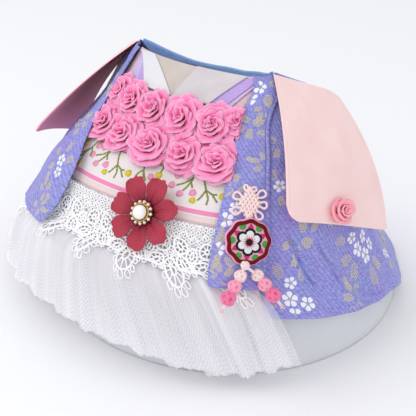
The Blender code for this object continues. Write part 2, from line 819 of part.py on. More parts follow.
def build_brooch():
    origin, side, down, out = brooch_frame()
    for number in range(PETALS):
        turn = math.radians(PETAL_FIRST_TURN + 360 * number / PETALS)
        along = side * math.sin(turn) - down * math.cos(turn)
        across = side * math.cos(turn) + down * math.sin(turn)
        lean = 0.8 if number % 2 else 0.0

        def place(s, t, along=along, across=across, lean=lean):
            reach = mix(PETAL_LENGTH, PETAL_ROOT, t)
            x = 2 * s - 1
            share = (reach - PETAL_ROOT) / (PETAL_LENGTH - PETAL_ROOT)
            wedge = reach * math.tan(math.pi / PETALS) - 0.35
            width = min(wedge, PETAL_WIDTH * math.sqrt(max(0.1, 1.06 - (max(share - 0.55, 0) / 0.62) ** 2)))
            tip = (1 - abs(x)) * 0.9 - 1.2 * x * x
            cup = 1.1 + lean + 1.6 * math.sin(math.pi * share * 0.8) + 0.8 * x * x * share
            flat = along * (reach + tip * share**3) + across * (x * width)
            return origin + flat + out * (BROOCH_LIFT + cup)

        wall(f"brooch_petal_{number + 1}", place, 6, 5, PETAL_WALL, PETAL, 0.55)

    def stones(r, turn):
        bead = 0.5 + 0.5 * math.cos(STONES * turn)
        ring = math.exp(-(((r - 0.86) / 0.12) ** 2))
        return 2.2 + 1.0 * ring * bead - 0.6 * smoothstep((r - 0.9) * 10) if r > 0.6 else 2.2

    lift = BROOCH_LIFT + PETAL_WALL + SETTING_CLEAR
    frame = (origin, side, down, out)
    boss(
        "brooch_setting",
        frame,
        lift,
        lambda turn: SETTING_RADIUS,
        stones,
        2 * STONES,
        3,
        GILT,
        0.3,
        1.0,
    )
    boss(
        "brooch_pearl",
        frame,
        lift + 2.2 + GAP,
        lambda turn: PEARL_RADIUS,
        lambda r, turn: 0.4 + (PEARL_RADIUS - 0.4) * math.sqrt(max(0.0, 1 - r * r)),
        16,
        4,
        PEARL,
        0.2,
    )


# The hanging ornament on the left lapel
CORD_PINK = (0.82, 0.55, 0.58)
PENDANT_RED = (0.33, 0.02, 0.05)
KNOT_AT = (0.56, 2.72 / LAPEL_BOTTOM)  # across the lapel and down it
PENDANT_AT = (0.60, 3.32 / LAPEL_BOTTOM)
PENDANT_RADIUS = 14.2
KNOT_RADIUS = 9.6
# The three balls of a string: radius and colour
BALLS = ((3.4, (0.82, 0.55, 0.58)), (3.8, (0.80, 0.27, 0.42)), (4.1, (0.74, 0.13, 0.30)))
BALL_GAP = 0.3
# Each string's first and last centre: angle, station and height over the lie
STRINGS = {
    "right": ((40.4, 3.96, 15.6), (37.0, 4.42, 18.2)),
    "left": ((44.9, 3.95, 12.6), (48.1, 4.33, 15.5)),
}
END_LENGTH = 5.5
END_RADIUS = 1.2


def build_ornament():
    def on_lapel(s, t):
        return lapel(1, s, t)

    def knot_radius(turn):
        return KNOT_RADIUS * (0.86 + 0.14 * math.cos(8 * turn))

    boss(
        "ornament_knot",
        frame_on(on_lapel, *KNOT_AT),
        LAPEL_WALL + 0.6,
        knot_radius,
        lambda r, turn: 2.2 + 1.8 * (1 - r * r),
        32,
        2,
        CORD_PINK,
    )

    def rim(turn):
        return PENDANT_RADIUS * (1 + 0.03 * math.cos(9 * turn))

    boss(
        "ornament_pendant",
        frame_on(on_lapel, *PENDANT_AT),
        LAPEL_WALL + 0.8,
        rim,
        lambda r, turn: 4.2 + 1.6 * (1 - r * r) - 1.0 * smoothstep((r - 0.85) * 7),
        36,
        3,
        PENDANT_RED,
    )
    for hand, (first, last) in STRINGS.items():
        centre = lie(*first)
        along = (lie(*last) - centre).normalized()
        for number, (radius, colour) in enumerate(BALLS):
            if number:
                centre = centre + along * (BALLS[number - 1][0] + radius + BALL_GAP)
            ball(f"ball_{hand}_{number + 1}", centre, radius, colour)
        middle = centre + along * (BALLS[-1][0] + BALL_GAP + END_LENGTH / 2)
        bm = bmesh.new()
        bmesh.ops.create_cone(
            bm,
            cap_ends=True,
            segments=8,
            radius1=END_RADIUS * MM,
            radius2=END_RADIUS * 0.7 * MM,
            depth=END_LENGTH * MM,
        )
        turn = along.to_track_quat("Z", "Y").to_matrix().to_4x4()
        bmesh.ops.transform(bm, matrix=turn, verts=bm.verts)
        bmesh.ops.translate(bm, verts=bm.verts, vec=middle * MM)
        new_object(f"cord_end_{hand}", bm, CORD_PINK, 0.8)


for old in list(bpy.data.objects):
    bpy.data.objects.remove(old, do_unlink=True)

build_form()
build_cape()
build_lapels()
build_neck_binding()
build_bib()
build_collar()
build_rose_trim()
build_waist_bands()
build_underskirt()
build_tulle()
build_lace()
build_flaps()
build_satin_rose()
build_brooch()
build_ornament()
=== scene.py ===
"""The looks of a small pet's hanfu cape on its round display form.

Sizes in the sections are in millimetres and turn to metres when a mesh is made.
"""

import math

import random

import bmesh
import bpy
import numpy as np
from mathutils import Matrix, Vector


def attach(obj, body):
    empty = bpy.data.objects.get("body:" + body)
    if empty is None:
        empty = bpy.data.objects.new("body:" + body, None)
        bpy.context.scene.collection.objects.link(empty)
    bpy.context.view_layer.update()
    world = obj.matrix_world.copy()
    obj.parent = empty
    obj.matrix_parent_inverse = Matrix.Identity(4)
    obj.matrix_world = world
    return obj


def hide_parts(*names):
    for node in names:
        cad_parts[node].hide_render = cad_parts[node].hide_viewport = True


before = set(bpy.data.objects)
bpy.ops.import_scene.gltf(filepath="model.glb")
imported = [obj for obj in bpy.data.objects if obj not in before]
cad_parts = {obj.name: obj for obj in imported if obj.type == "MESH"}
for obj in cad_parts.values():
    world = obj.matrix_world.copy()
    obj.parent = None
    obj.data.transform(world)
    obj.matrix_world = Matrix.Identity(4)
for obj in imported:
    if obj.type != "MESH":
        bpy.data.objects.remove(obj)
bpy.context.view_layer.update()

# The camera
# A longish lens at arm's length, looking down on the front from the wearer's left
CAMERA_AT = (0.32670, -0.48365, 0.38623)
CAMERA_LOOKS = (-0.5036, 0.7045, -0.5)
FOCAL_PX = 842.49
PHOTO_PX = 416
SENSOR_MM = 36.0

camera = bpy.data.objects.new("camera", bpy.data.cameras.new("camera"))
bpy.context.scene.collection.objects.link(camera)
camera.location = CAMERA_AT
camera.rotation_euler = Vector(CAMERA_LOOKS).to_track_quat("-Z", "Y").to_euler()
camera.data.sensor_width = SENSOR_MM
camera.data.lens = SENSOR_MM * FOCAL_PX / PHOTO_PX
bpy.context.scene.camera = camera


# The floor and the light
# A pale matt table in a bright tent: soft light from all sides, a broad softbox high at the left
def linear(code):
    """An sRGB hex colour as linear numbers."""
    parts = [int(code[i : i + 2], 16) / 255 for i in (1, 3, 5)]
    return (*(c / 12.92 if c <= 0.04045 else ((c + 0.055) / 1.055) ** 2.4 for c in parts), 1.0)


def feed(node, sockets):
    """Gives each socket a value, a hex colour, another node's socket, or another node's first output."""
    for name, source in sockets.items():
        if isinstance(source, str):
            source = linear(source)
        if isinstance(source, bpy.types.Node):
            source = next(output for output in source.outputs if output.enabled)
        if isinstance(source, bpy.types.NodeSocket):
            node.id_data.links.new(source, node.inputs[name])
        else:
            node.inputs[name].default_value = source


def add(tree, kind, sockets=None, **settings):
    """One node with its settings and links. The tree's own prefix is left off its kind."""
    made = tree.nodes.new(kind if "Node" in kind else tree.bl_idname.replace("Tree", "") + kind)
    for name, value in settings.items():
        setattr(made, name, value)
    feed(made, sockets or {})
    return made


def blank_material(name):
    """A new material, its tree and its shader."""
    made = bpy.data.materials.new(name)
    made.use_nodes = True
    tree = made.node_tree
    return made, tree, tree.nodes["Principled BSDF"]


def dress(shader, sockets, shades=None, relief=None):
    """Feeds a shader. shades are a pattern with its dark and light colours, relief a height with its
    strength and its depth in metres.
    """
    tree = shader.id_data
    feed(shader, sockets)
    if shades:
        pattern, dark, light = shades
        tone = add(tree, "Mix", {"Factor": pattern, "A": dark, "B": light}, data_type="RGBA")
        feed(shader, {"Base Color": tone})
    if relief:
        height, strength, depth = relief
        bump = add(tree, "Bump", {"Height": height, "Strength": strength, "Distance": depth})
        feed(shader, {"Normal": bump})


table_paper, tree, shader = blank_material("matt_white_paper")
dress(shader, {"Base Color": "#fafafb", "Roughness": 0.9, "Specular IOR Level": 0.1})
bpy.ops.mesh.primitive_plane_add(size=8.0, location=(0, 0, -0.0004))
floor = bpy.context.object
floor.name = "floor"
floor.data.materials.append(table_paper)
bpy.context.scene.view_settings.view_transform = "Standard"

world = bpy.data.worlds.new("tent")
bpy.context.scene.world = world
world.use_nodes = True
feed(world.node_tree.nodes["Background"], {"Color": "#fbfcff", "Strength": 0.88})


def softbox(name, at, aim, size, power):
    """A square area light, turned to what it aims at."""
    light = bpy.data.objects.new(name, bpy.data.lights.new(name, "AREA"))
    bpy.context.scene.collection.objects.link(light)
    light.location = at
    light.rotation_euler = (Vector(aim) - Vector(at)).to_track_quat("-Z", "Y").to_euler()
    light.data.size = size
    light.data.energy = power


LIGHTS_AIM = (0, 0, 0.08)
softbox("key_softbox", (-0.55, -0.75, 1.15), LIGHTS_AIM, 0.9, 4.3)
softbox("fill_softbox", (0.9, -0.9, 0.8), LIGHTS_AIM, 0.9, 1.6)

# The display form
# A smooth limbless hump of moulded board with a pale satin coat, on which the cape stands.
# It follows the cloth from inside and ends in a round flat foot.

# The cloth's lie, measured round six levels
SECTION_COLUMNS = "half_width front_y wide_y back_y front_z side_z back_z square right_in".split()
SECTIONS = {
    "neck": (56, -39, -32, -21, 182, 186, 172, 2.0, 0),
    "shoulder": (90, -62, -6, 3, 164, 167, 161, 2.0, 5),
    "chest": (105, -88, -11, 35, 137, 143, 134, 2.2, 11),
    "waist": (118.5, -115, -17, 63, 112, 113, 104, 2.5, 6),
    "hip": (124, -132, -24, 90, 84, 74, 62, 2.3, 0),
    "hem": (146, -148, -22, 141.5, 60, 25, 2, 2.05, 0),
}
BACK_DROP = 0.65
RIGHT_IN_FROM, RIGHT_IN_OVER = 0.5, 0.4
SECTION_TABLE = {name: [row[i] for row in SECTIONS.values()] for i, name in enumerate(SECTION_COLUMNS)}
# How far the form lies inside the cloth, by station
FORM_STATIONS = (0.76, 0.92, 1.15, 1.6, 2.2, 2.8, 3.3, 3.8)
FORM_INSETS = (4.2, 2.6, 1.6, 1.3, 1.1, 1.0, 1.6, 3.0)
# Columns: height, half width, front, widest and back y
FORM_FOOT = (
    (60, 119.5, -130, -22, 88.5),
    (46, 128.5, -135, -22, 99),
    (20, 136, -139.5, -18, 117.5),
    (8, 139.5, -141, -12, 126),
    (0, 140, -140, -8, 130),
)
FORM_TOP_RISE = 1.2
MM = 0.001


def mix(a, b, t):
    return a + (b - a) * t


def smoothstep(x):
    """0 up to x = 0, 1 from x = 1, and a soft slope between."""
    x = np.clip(x, 0.0, 1.0)
    return x * x * (3 - 2 * x)


def between(a, b, c, d, t):
    """The smooth curve from b to c, where a lies before them and d after."""
    return 0.5 * (2 * b + (c - a) * t + (2 * a - 5 * b + 4 * c - d) * t**2 + (3 * b - a - 3 * c + d) * t**3)


def spline(values, at):
    """A Catmull-Rom curve through evenly spaced values, straight past its ends."""
    values = np.asarray(values, float)
    at = np.asarray(at, float)
    last = len(values) - 1
    i = np.clip(np.floor(at).astype(int), 0, last - 1)
    t = at - i
    b, c = values[i], values[i + 1]
    a = np.where((i > 0), values[np.maximum(i - 1, 0)], 2 * b - c)
    d = np.where((i + 2 <= last), values[np.minimum(i + 2, last)], 2 * c - b)
    return between(a, b, c, d, t)


def stack(*columns):
    """Points from their columns of numbers."""
    return np.stack(columns, axis=-1)


def spread(*numbers):
    """Numbers and arrays brought to one shape."""
    return np.broadcast_arrays(*(np.asarray(n, float) for n in numbers))


def skin(angle, station):
    """Points on the lie of the cloth: angle round it from the front, station from the neck to the hem."""
    angle, station = spread(angle, station)
    size = {name: spline(column, station) for name, column in SECTION_TABLE.items()}
    s = np.sin(np.radians(angle))
    c = np.cos(np.radians(angle))
    square = np.where(c > 0, size["square"], 2.0)
    reach = (np.abs(s) ** square + np.abs(c) ** square) ** (-1 / square)
    to_front = mix(size["wide_y"], size["front_y"], reach * c)
    to_back = mix(size["wide_y"], size["back_y"], -reach * c)
    front_z = mix(size["side_z"], size["front_z"], c)
    back_z = mix(size["side_z"], size["back_z"], smoothstep(-c / BACK_DROP))
    x = size["half_width"] * reach * s + size["right_in"] * smoothstep((-s - RIGHT_IN_FROM) / RIGHT_IN_OVER)
    return stack(x, np.where(c > 0, to_front, to_back), np.where(c > 0, front_z, back_z))


def out_of(surface, a, b, da, db):
    """Outward normals of a surface whose first number runs to the wearer's left and second runs down."""
    along = surface(a + da, b) - surface(a - da, b)
    down = surface(a, b + db) - surface(a, b - db)
    normal = np.cross(down, along)
    return normal / np.linalg.norm(normal, axis=-1, keepdims=True)


def lie(angle, station, out=0.0):
    """Points that stand so far out from the lie of the cloth."""
    normal = out_of(skin, angle, station, 0.2, 0.01)
    return skin(angle, station) + normal * np.asarray(out, float)[..., None]


def mesh_object(name, points, faces, material, uv=None):
    """A smooth mesh from points in mm. uv gives each point its place on the flat cloth, in mm."""
    mesh = bpy.data.meshes.new(name)
    mesh.from_pydata((np.asarray(points, float) * MM).tolist(), [], [list(map(int, f)) for f in faces])
    if uv is not None:
        layer = mesh.uv_layers.new(name="cloth")
        corners = np.zeros(len(mesh.loops), np.int32)
        mesh.loops.foreach_get("vertex_index", corners)
        layer.data.foreach_set("uv", np.asarray(uv, np.float32)[corners].ravel())
    mesh.shade_smooth()
    made = bpy.data.objects.new(name, mesh)
    bpy.context.scene.collection.objects.link(made)
    for one in material if isinstance(material, (list, tuple)) else (material,):
        mesh.materials.append(one)
    return made


def grid_faces(rows, columns, start=0, wrap=False, flip=False):
    """Quads of a grid of points, (rows) by (columns), as point numbers."""
    index = start + np.arange(rows * columns).reshape(rows, columns)
    if wrap:
        index = np.concatenate([index, index[:, :1]], axis=1)
    quads = stack(index[:-1, :-1], index[1:, :-1], index[1:, 1:], index[:-1, 1:]).reshape(-1, 4)
    return quads[:, ::-1] if flip else quads


form_coat, tree, shader = blank_material("moulded_board_satin_coat")
where = add(tree, "TexCoord").outputs["Object"]
mottle = add(tree, "TexNoise", {"Vector": where, "Scale": 60.0, "Detail": 4.0})
grain = add(tree, "TexNoise", {"Vector": where, "Scale": 900.0, "Detail": 2.0})
dress(shader, {"Roughness": 0.42}, (mottle, "#d1d3d8", "#dddfe3"), (grain, 0.05, 0.0002))

FORM_SIDES, FORM_RINGS, FOOT_RINGS = 120, 40, 17
turns = 360.0 * np.arange(FORM_SIDES) / FORM_SIDES
rings = []
for station in np.linspace(FORM_STATIONS[0], FORM_STATIONS[-1], FORM_RINGS):
    rings.append(lie(turns, station, -np.interp(station, FORM_STATIONS, FORM_INSETS)))
c = np.cos(np.radians(turns))
for k in np.linspace(0, len(FORM_FOOT) - 1, FOOT_RINGS):
    height, half_width, front_y, wide_y, back_y = (spline(column, k) for column in zip(*FORM_FOOT))
    x = half_width * np.sin(np.radians(turns))
    y = mix(wide_y, np.where(c > 0, front_y, back_y), np.abs(c))
    rings.append(stack(x, y, np.full_like(y, max(height, 0.0))))
crown = rings[0].mean(axis=0) + (0, 0, FORM_TOP_RISE)
caps = [crown + (rings[0] - crown) * k for k in (0.25, 0.5, 0.75)]
foot = rings[-1].mean(axis=0)
points = np.concatenate([[crown], *caps, *rings, [foot]])
ring_count = len(caps) + len(rings)
faces = [tuple(f) for f in grid_faces(ring_count, FORM_SIDES, 1, wrap=True)]
last_ring = 1 + (ring_count - 1) * FORM_SIDES
for k in range(FORM_SIDES):
    after = (k + 1) % FORM_SIDES
    faces.append((0, 1 + k, 1 + after))
    faces.append((len(points) - 1, last_ring + after, last_ring + k))
form = mesh_object("display_form_smooth", points, faces, form_coat)
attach(form, "root")
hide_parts("display_form")

# The cape's main cloth: back, two sides
# Periwinkle crepe brocade: a crinkled ground with a raised figure of white blossoms and gold-beige leaves.
# Three panels meet at two side seams, with soft folds that deepen towards a turned hem.
HEM_FRONT, HEM_BACK = 4.86, 5.0
LAPEL_SEAM = (75, 46.2, 45.5, 46.4, 47.6, 46.5)
SIDE_SEAM = (116, 116, 117, 118, 118, 118)
SEAM_TURN, LAPEL_LAP = 0.35, 0.8
CLOTH = 1.0
HEM_DROPS_FROM, HEM_DROPS_OVER = 85, 33
NECK_TURN = 0.02
# Soft folds. Columns: angle and station at each end, width in degrees, height in mm
CAPE_FOLDS = (
    (48, 3.1, 64, 4.9, 4.5, 2.2),
    (62, 3.0, 78, 4.9, 4.0, 1.8),
    (84, 3.0, 92, 4.9, 5.0, 1.6),
    (104, 2.0, 106, 4.9, 6.0, 2.0),
    (134, 2.2, 138, 4.9, 6.5, 2.2),
    (162, 2.0, 165, 4.9, 7.0, 2.0),
)
# Sharp creases. Columns: angle and station at each end, width in degrees, depth in mm, bow in degrees
CAPE_CREASES = (
    (49.0, 3.0, 65.6, 4.66, 0.85, -2.1, 2.2),
    (61.5, 3.35, 75.6, 4.58, 0.85, -2.1, 1.9),
    (75.0, 4.5, 92.5, 4.85, 2.6, -1.9, 2.5),
    (86, 3.0, 91, 4.3, 0.9, -0.4, 1.0),
    (98, 2.6, 102, 4.6, 1.2, -0.7, 0),
    (121, 2.4, 128, 4.6, 1.4, -0.8, 0),
    (147, 2.8, 151, 4.7, 1.5, -0.8, 0),
    (172, 3.0, 175, 4.6, 1.5, -0.7, 0),
    (-52, 3.3, -58, 4.5, 1.0, -0.8, 0),
    (-66, 3.0, -73, 4.6, 1.1, -0.7, 0),
    (-92, 2.5, -97, 4.4, 1.2, -0.7, 0),
    (-125, 2.6, -131, 4.7, 1.4, -0.8, 0),
    (-153, 2.9, -157, 4.6, 1.4, -0.8, 0),
)


def cape_rise(angle, station):
    """How far the folds and creases stand off the lie."""
    rise = np.zeros_like(angle + station)
    for a0, s0, a1, s1, width, height in CAPE_FOLDS:
        t = np.clip((station - s0) / (s1 - s0), 0, 1)
        off = (np.abs(angle) - mix(a0, a1, t)) / width
        rise = rise + height * smoothstep(t * 2) * np.exp(-off * off)
    for a0, s0, a1, s1, width, depth, bow in CAPE_CREASES:
        t = (station - s0) / (s1 - s0)
        ends = smoothstep(t * 2.6) * smoothstep((1 - t) * 4)
        middle = mix(a0, a1, np.clip(t, 0, 1)) + bow * 4 * t * (1 - t) + 0.25 * np.sin(9 * t + a0)
        off = (angle - middle) / width
        rise = rise + depth * ends * (np.exp(-off * off) - 0.45 * np.exp(-((off - 1.9) ** 2)))
    crumple = 0.22 * np.sin(angle * 0.55 + 3 * np.sin(station * 2.3)) * np.sin(station * 6.1 + angle * 0.21)
    return rise + crumple * smoothstep((station - 0.6) / 1.5)


def down_cape(angle, t):
    """A point of the cape from its neck edge, t = 0, to its hem, t = 1. The hem lies lower behind."""
    hem = mix(HEM_FRONT, HEM_BACK, smoothstep((np.abs(angle) - HEM_DROPS_FROM) / HEM_DROPS_OVER))
    station = mix(NECK_TURN, hem, t)
    return lie(angle, station, cape_rise(angle, station))


# Where the lines of a rolled edge lie, as shares of the roll
ROLL_STEPS = (0, 0.08, 0.3, 0.65)


def cloth_wall(name, place, size, steps, thickness, edge, material, lining=None):
    """A closed cloth wall over place(s, t), each 0 to 1, with soft rounded edges.

    size is the cloth's width and height, steps the quads across and down, edge how far its edges roll.
    """
    lines = []
    for length, count in zip(size, steps):
        roll = edge / length
        near = roll * np.array(ROLL_STEPS)
        lines.append(np.concatenate([near, np.linspace(roll, 1 - roll, count), (1 - near)[::-1]]))
    s, t = np.meshgrid(*lines)
    base = place(s, t)
    down = np.gradient(base, lines[1], axis=0)
    along = np.gradient(base, lines[0], axis=1)
    normal = np.cross(down, along)
    normal /= np.linalg.norm(normal, axis=-1, keepdims=True)
    rim = np.minimum(np.minimum(s, 1 - s) * size[0], np.minimum(t, 1 - t) * size[1])
    share = np.sqrt(np.clip(1 - (1 - np.clip(rim / edge, 0, 1)) ** 2, 0, 1))[..., None]
    middle = base + normal * thickness / 2
    outer = middle + normal * share * thickness / 2
    inner = middle - normal * share * thickness / 2
    rows, columns = s.shape
    flat = stack(s * size[0], t * size[1]).reshape(-1, 2)
    points = np.concatenate([outer.reshape(-1, 3), inner.reshape(-1, 3)])
    front = grid_faces(rows, columns)
    back = grid_faces(rows, columns, rows * columns, flip=True)
    made = mesh_object(name, points, np.concatenate([front, back]), material, np.concatenate([flat, flat]))
    weld(made)
    if lining is not None:
        made.data.materials.append(lining)
        slots = (np.arange(len(made.data.polygons)) >= len(front)).astype(np.int32)
        made.data.polygons.foreach_set("material_index", slots)
    return made


def weld(made):
    """Joins points that lie together, and keeps the order of the faces."""
    bm = bmesh.new()
    bm.from_mesh(made.data)
    bmesh.ops.remove_doubles(bm, verts=bm.verts, dist=0.01 * MM)
    bm.to_mesh(made.data)
    bm.free()
    made.data.shade_smooth()


def cloth_material(name):
    """A new material, its tree, its shader, and the place on the flat cloth in mm."""
    made, tree, shader = blank_material(name)
    return made, tree, shader, add(tree, "UVMap", uv_map="cloth")


# Crepe is woven with hard-twisted yarn, so its ground is crinkled and scatters light softly,
# and a faint rib of 2.9 mm runs across it. The crinkle's crests are painted lighter where the same noise
# raises the bump: painted highlight.
crepe, tree, shader, flat_place = cloth_material("periwinkle_crepe")
stretched = add(tree, "Mapping", {"Vector": flat_place, "Rotation": (0, 0, 0.35), "Scale": (0.42, 1.1, 1.0)})
crinkle = add(tree, "TexNoise", {"Vector": stretched, "Scale": 0.8, "Detail": 2.5, "Distortion": 0.8})
leaning = add(tree, "Mapping", {"Vector": flat_place, "Rotation": (0, 0, math.radians(38))})
rib = add(tree, "TexWave", {"Vector": leaning, "Scale": 0.11, "Distortion": 0.8, "Detail": 1.0})
cloud = add(tree, "TexNoise", {"Vector": flat_place, "Scale": 0.05, "Detail": 2.0})
crinkle_crest_painted_highlight = add(tree, "MapRange", {"Value": crinkle, "From Min": 0.3, "From Max": 0.7})
ground = add(tree, "Mix", {"Factor": crinkle_crest_painted_highlight, "A": "#7a78c2", "B": "#a4a4e6"}, data_type="RGBA")
ribs = {"Factor": 0.12, "A": ground, "B": rib.outputs["Color"]}
ribbed = add(tree, "Mix", ribs, data_type="RGBA", blend_type="OVERLAY")
clouds = {"Factor": 0.25, "A": ribbed, "B": cloud.outputs["Color"]}
clouded = add(tree, "Mix", clouds, data_type="RGBA", blend_type="SOFT_LIGHT")
ribbed_crinkle = add(tree, "Math", {0: rib.outputs["Fac"], 1: 0.42, 2: crinkle}, operation="MULTIPLY_ADD")
dress(
    shader,
    {
        "Base Color": clouded,
        "Roughness": 0.62,
        "Sheen Weight": 0.2,
        "Sheen Roughness": 0.4,
        "Sheen Tint": "#d8dcff",
    },
    relief=(ribbed_crinkle, 0.6, 0.0006),
)


def grained(name, scale, detail, sockets, shades=None, relief=None):
    """A material whose two shades and relief follow one fine grain, such as fibres or rubbed metal."""
    made, tree, shader = blank_material(name)
    where = add(tree, "TexCoord").outputs["Object"]
    grain = add(tree, "TexNoise", {"Vector": where, "Scale": scale, "Detail": detail})
    dress(shader, sockets, shades and (grain, *shades), relief and (grain, *relief))
    return made


# Floss of the woven figure: bright satin floats that catch the light
white = {"Base Color": "#eceff9", "Roughness": 0.5, "Sheen Weight": 0.3}
blossom_floss = grained("white_floss", 1400.0, 1.0, white, relief=(0.4, 0.0003))
beige = {"Roughness": 0.4}
leaf_floss = grained("gold_beige_floss", 900.0, 1.0, beige, ("#9b927f", "#efe3c8"), (0.5, 0.0003))


def cape_panel(edge_from, edge_to):
    """place(s, t) of a panel between two seam angles, each a function of the place down it."""

    def place(s, t):
        return down_cape(mix(edge_from(t), edge_to(t), s), t)

    return place


def front_seam(t):
    return spline(LAPEL_SEAM, t * HEM_FRONT) - LAPEL_LAP


def side_seam(t):
    return spline(SIDE_SEAM, t * HEM_BACK)


def back_panel(s, t):
    edge = side_seam(t) + SEAM_TURN
    angle = mix(edge, 360 - edge, s)
    return down_cape(np.where(s > 0.5, angle - 360, angle), t)


left_panel = cape_panel(front_seam, side_seam)
right_panel = cape_panel(lambda t: -side_seam(t), lambda t: -front_seam(t))
HEM_ROLL = 1.0
cape_left = cloth_wall("cape_left_brocade", left_panel, (165, 180), (150, 150), CLOTH, HEM_ROLL, crepe)
cape_right = cloth_wall("cape_right_brocade", right_panel, (165, 180), (110, 120), CLOTH, HEM_ROLL, crepe)
cape_back = cloth_wall("cape_back_brocade", back_panel, (330, 200), (190, 120), CLOTH, HEM_ROLL, crepe)

# The figure, charted. A leaf is a vein with slanted floats, a blossom five round petals.
# Columns of a leaf: x, y, length, width, turn in degrees. Columns of a blossom: x, y, radius, turn
SPRIG = (
    (),
    (
        (0, 0, 8.5, 4.0, 35),
        (-3, 2.5, 8, 3.6, 80),
        (-4, -1, 8, 3.6, 150),
        (1, -3, 8.5, 3.8, 250),
        (5.5, -2.5, 7.5, 3.2, 300),
        (-1, 8.5, 7, 3.0, 110),
    ),
)
CLUSTER = (
    (
        (0, 0, 5.8, 10),
        (10.5, -6.5, 5.2, 50),
        (9.5, 6.5, 5.4, -25),
        (-7.5, -9.5, 4.8, 30),
        (19.5, 1.0, 4.6, 5),
    ),
    (
        (-7, 4, 12, 5.2, 165),
        (-4, 8, 12, 5.2, 118),
        (-14, -7, 12, 5.0, 200),
        (-3, -15, 10, 4.4, 250),
        (13, 13, 12.5, 5.4, 100),
        (18, 9, 11, 4.8, 60),
    ),
)
SMALL_SPRAY = (
    ((0, 0, 5.2, 0), (6.5, 7.5, 4.6, 40)),
    ((-4, 4, 10, 4.4, 150), (-6.5, -3, 9.5, 4.2, 205), (1.5, -7, 9.5, 4.0, 285), (7.5, -2, 8.5, 3.8, 340)),
)
FLOAT_SIDES = 10
# How far a float's rim and its middle stand off the cloth
FLOAT_RIM, FLOAT_TOP = 0.04, 0.34
VEIN_WIDTH, STAMEN = 0.45, (1.9, 0.5)


def float_shape(x, y, length, width, turn, round_end=0.5):
    """A lens-shaped float: its rim, and its middle, on the flat cloth."""
    c, s = math.cos(turn), math.sin(turn)
    rim = []
    for k in range(FLOAT_SIDES):
        around = 2 * math.pi * k / FLOAT_SIDES
        along = length * (0.5 + 0.5 * math.cos(around))
        wide = width / 2 * math.sin(around) * (1 + round_end * math.cos(around) * 0.6)
        rim.append((x + along * c - wide * s, y + along * s + wide * c))
    return [*rim, (x + length * 0.55 * c, y + length * 0.55 * s)]


def figure_shapes(chart, turn, scale):
    """Every float of one motif, with its floss: 0 white, 1 gold-beige."""
    blossoms, leaves = chart
    shapes = []
    for x, y, radius, first in blossoms:
        for k in range(5):
            lean = math.radians(first + 72 * k)
            px, py = x + 1.2 * math.cos(lean), y + 1.2 * math.sin(lean)
            shapes.append((float_shape(px, py, radius - 1.2, radius * 0.68, lean, 0.7), 0))
            shapes.append((float_shape(x, y, *STAMEN, lean + 0.63), 1))
    for x, y, length, width, lean in leaves:
        lean = math.radians(lean)
        shapes.append((float_shape(x, y, length, VEIN_WIDTH, lean), 1))
        for k in range(5):
            share = 0.08 + 0.19 * k
            px, py = x + length * share * math.cos(lean), y + length * share * math.sin(lean)
            reach = width * (0.62 + 0.45 * math.sin(math.pi * (share + 0.12)))
            for hand in (-1, 1):
                shapes.append((float_shape(px, py, reach * 1.05, 0.86, lean + hand * 0.76), 1))
    c, s = math.cos(turn) * scale, math.sin(turn) * scale
    placed = []
    for ring, floss in shapes:
        ring = [(px * c - py * s, px * s + py * c) for px, py in ring]
        placed.append((np.array(ring), floss))
    return placed


def weave_figure(name, surface, motifs, steps, keep):
    """Raised floats on surface(a, b, out). motifs give chart, a, b, turn and scale. steps are the spans over
    which the surface is measured, and a float stays where keep(a, b) holds all round it.
    """
    spots_a, spots_b, faces, floss_of = [], [], [], []
    for chart, a0, b0, turn, scale in motifs:
        da, db = steps
        wide = np.linalg.norm(surface(a0 + da, b0, 0.0) - surface(a0 - da, b0, 0.0)) / (2 * da)
        tall = np.linalg.norm(surface(a0, b0 + db, 0.0) - surface(a0, b0 - db, 0.0)) / (2 * db)
        for ring, floss in figure_shapes(chart, math.radians(turn), scale):
            a = a0 + ring[:, 0] / wide
            b = b0 + ring[:, 1] / tall
            if not np.all(keep(a, b)):
                continue
            start = (FLOAT_SIDES + 1) * len(spots_a)
            spots_a.append(a)
            spots_b.append(b)
            for k in range(FLOAT_SIDES):
                faces.append((start + FLOAT_SIDES, start + (k + 1) % FLOAT_SIDES, start + k))
                floss_of.append(floss)
    rise = np.tile([FLOAT_RIM] * FLOAT_SIDES + [FLOAT_TOP], len(spots_a))
    points = surface(np.concatenate(spots_a), np.concatenate(spots_b), rise)
    made = mesh_object(name, points, faces, (blossom_floss, leaf_floss))
    made.data.polygons.foreach_set("material_index", np.array(floss_of, np.int32))
    return made


CLEAR_OF_SEAM = 0.6


def on_cape(angle, station, out):
    return lie(angle, station, cape_rise(angle, station) + CLOTH + out)


def side_keep(angle, station):
    """Whether a spot lies on a side panel, clear of its edges."""
    inside = np.abs(angle) > spline(LAPEL_SEAM, station) + CLEAR_OF_SEAM
    inside = inside & (np.abs(angle) < spline(SIDE_SEAM, station) - CLEAR_OF_SEAM)
    return inside & (station > 0.1) & (station < HEM_FRONT - 0.04)


# Where the motifs lie on the wearer's left side. Columns: chart, angle, station, turn, scale
LEFT_SIDE_MOTIFS = (
    (CLUSTER, 88.0, 4.05, 10, 1.0),
    (CLUSTER, 54.5, 4.50, 50, 0.95),
    (SPRIG, 59.0, 3.42, 0, 1.15),
    (SPRIG, 77.5, 4.66, 160, 1.1),
    (SMALL_SPRAY, 49.5, 2.40, 100, 0.8),
    (SPRIG, 48.5, 1.70, 60, 0.8),
    (SMALL_SPRAY, 73.0, 2.9, 180, 1.0),
    (SPRIG, 106.0, 3.10, 20, 1.0),
    (SMALL_SPRAY, 110.0, 4.50, 150, 1.0),
    (CLUSTER, 88.0, 2.2, 10, 0.95),
    (SPRIG, 66.0, 1.9, 200, 0.9),
    (SMALL_SPRAY, 90.0, 1.1, 30, 0.9),
)
RIGHT_SIDE_MOTIFS = [(chart, -a - 2, b, 180 - turn, scale) for chart, a, b, turn, scale in LEFT_SIDE_MOTIFS]
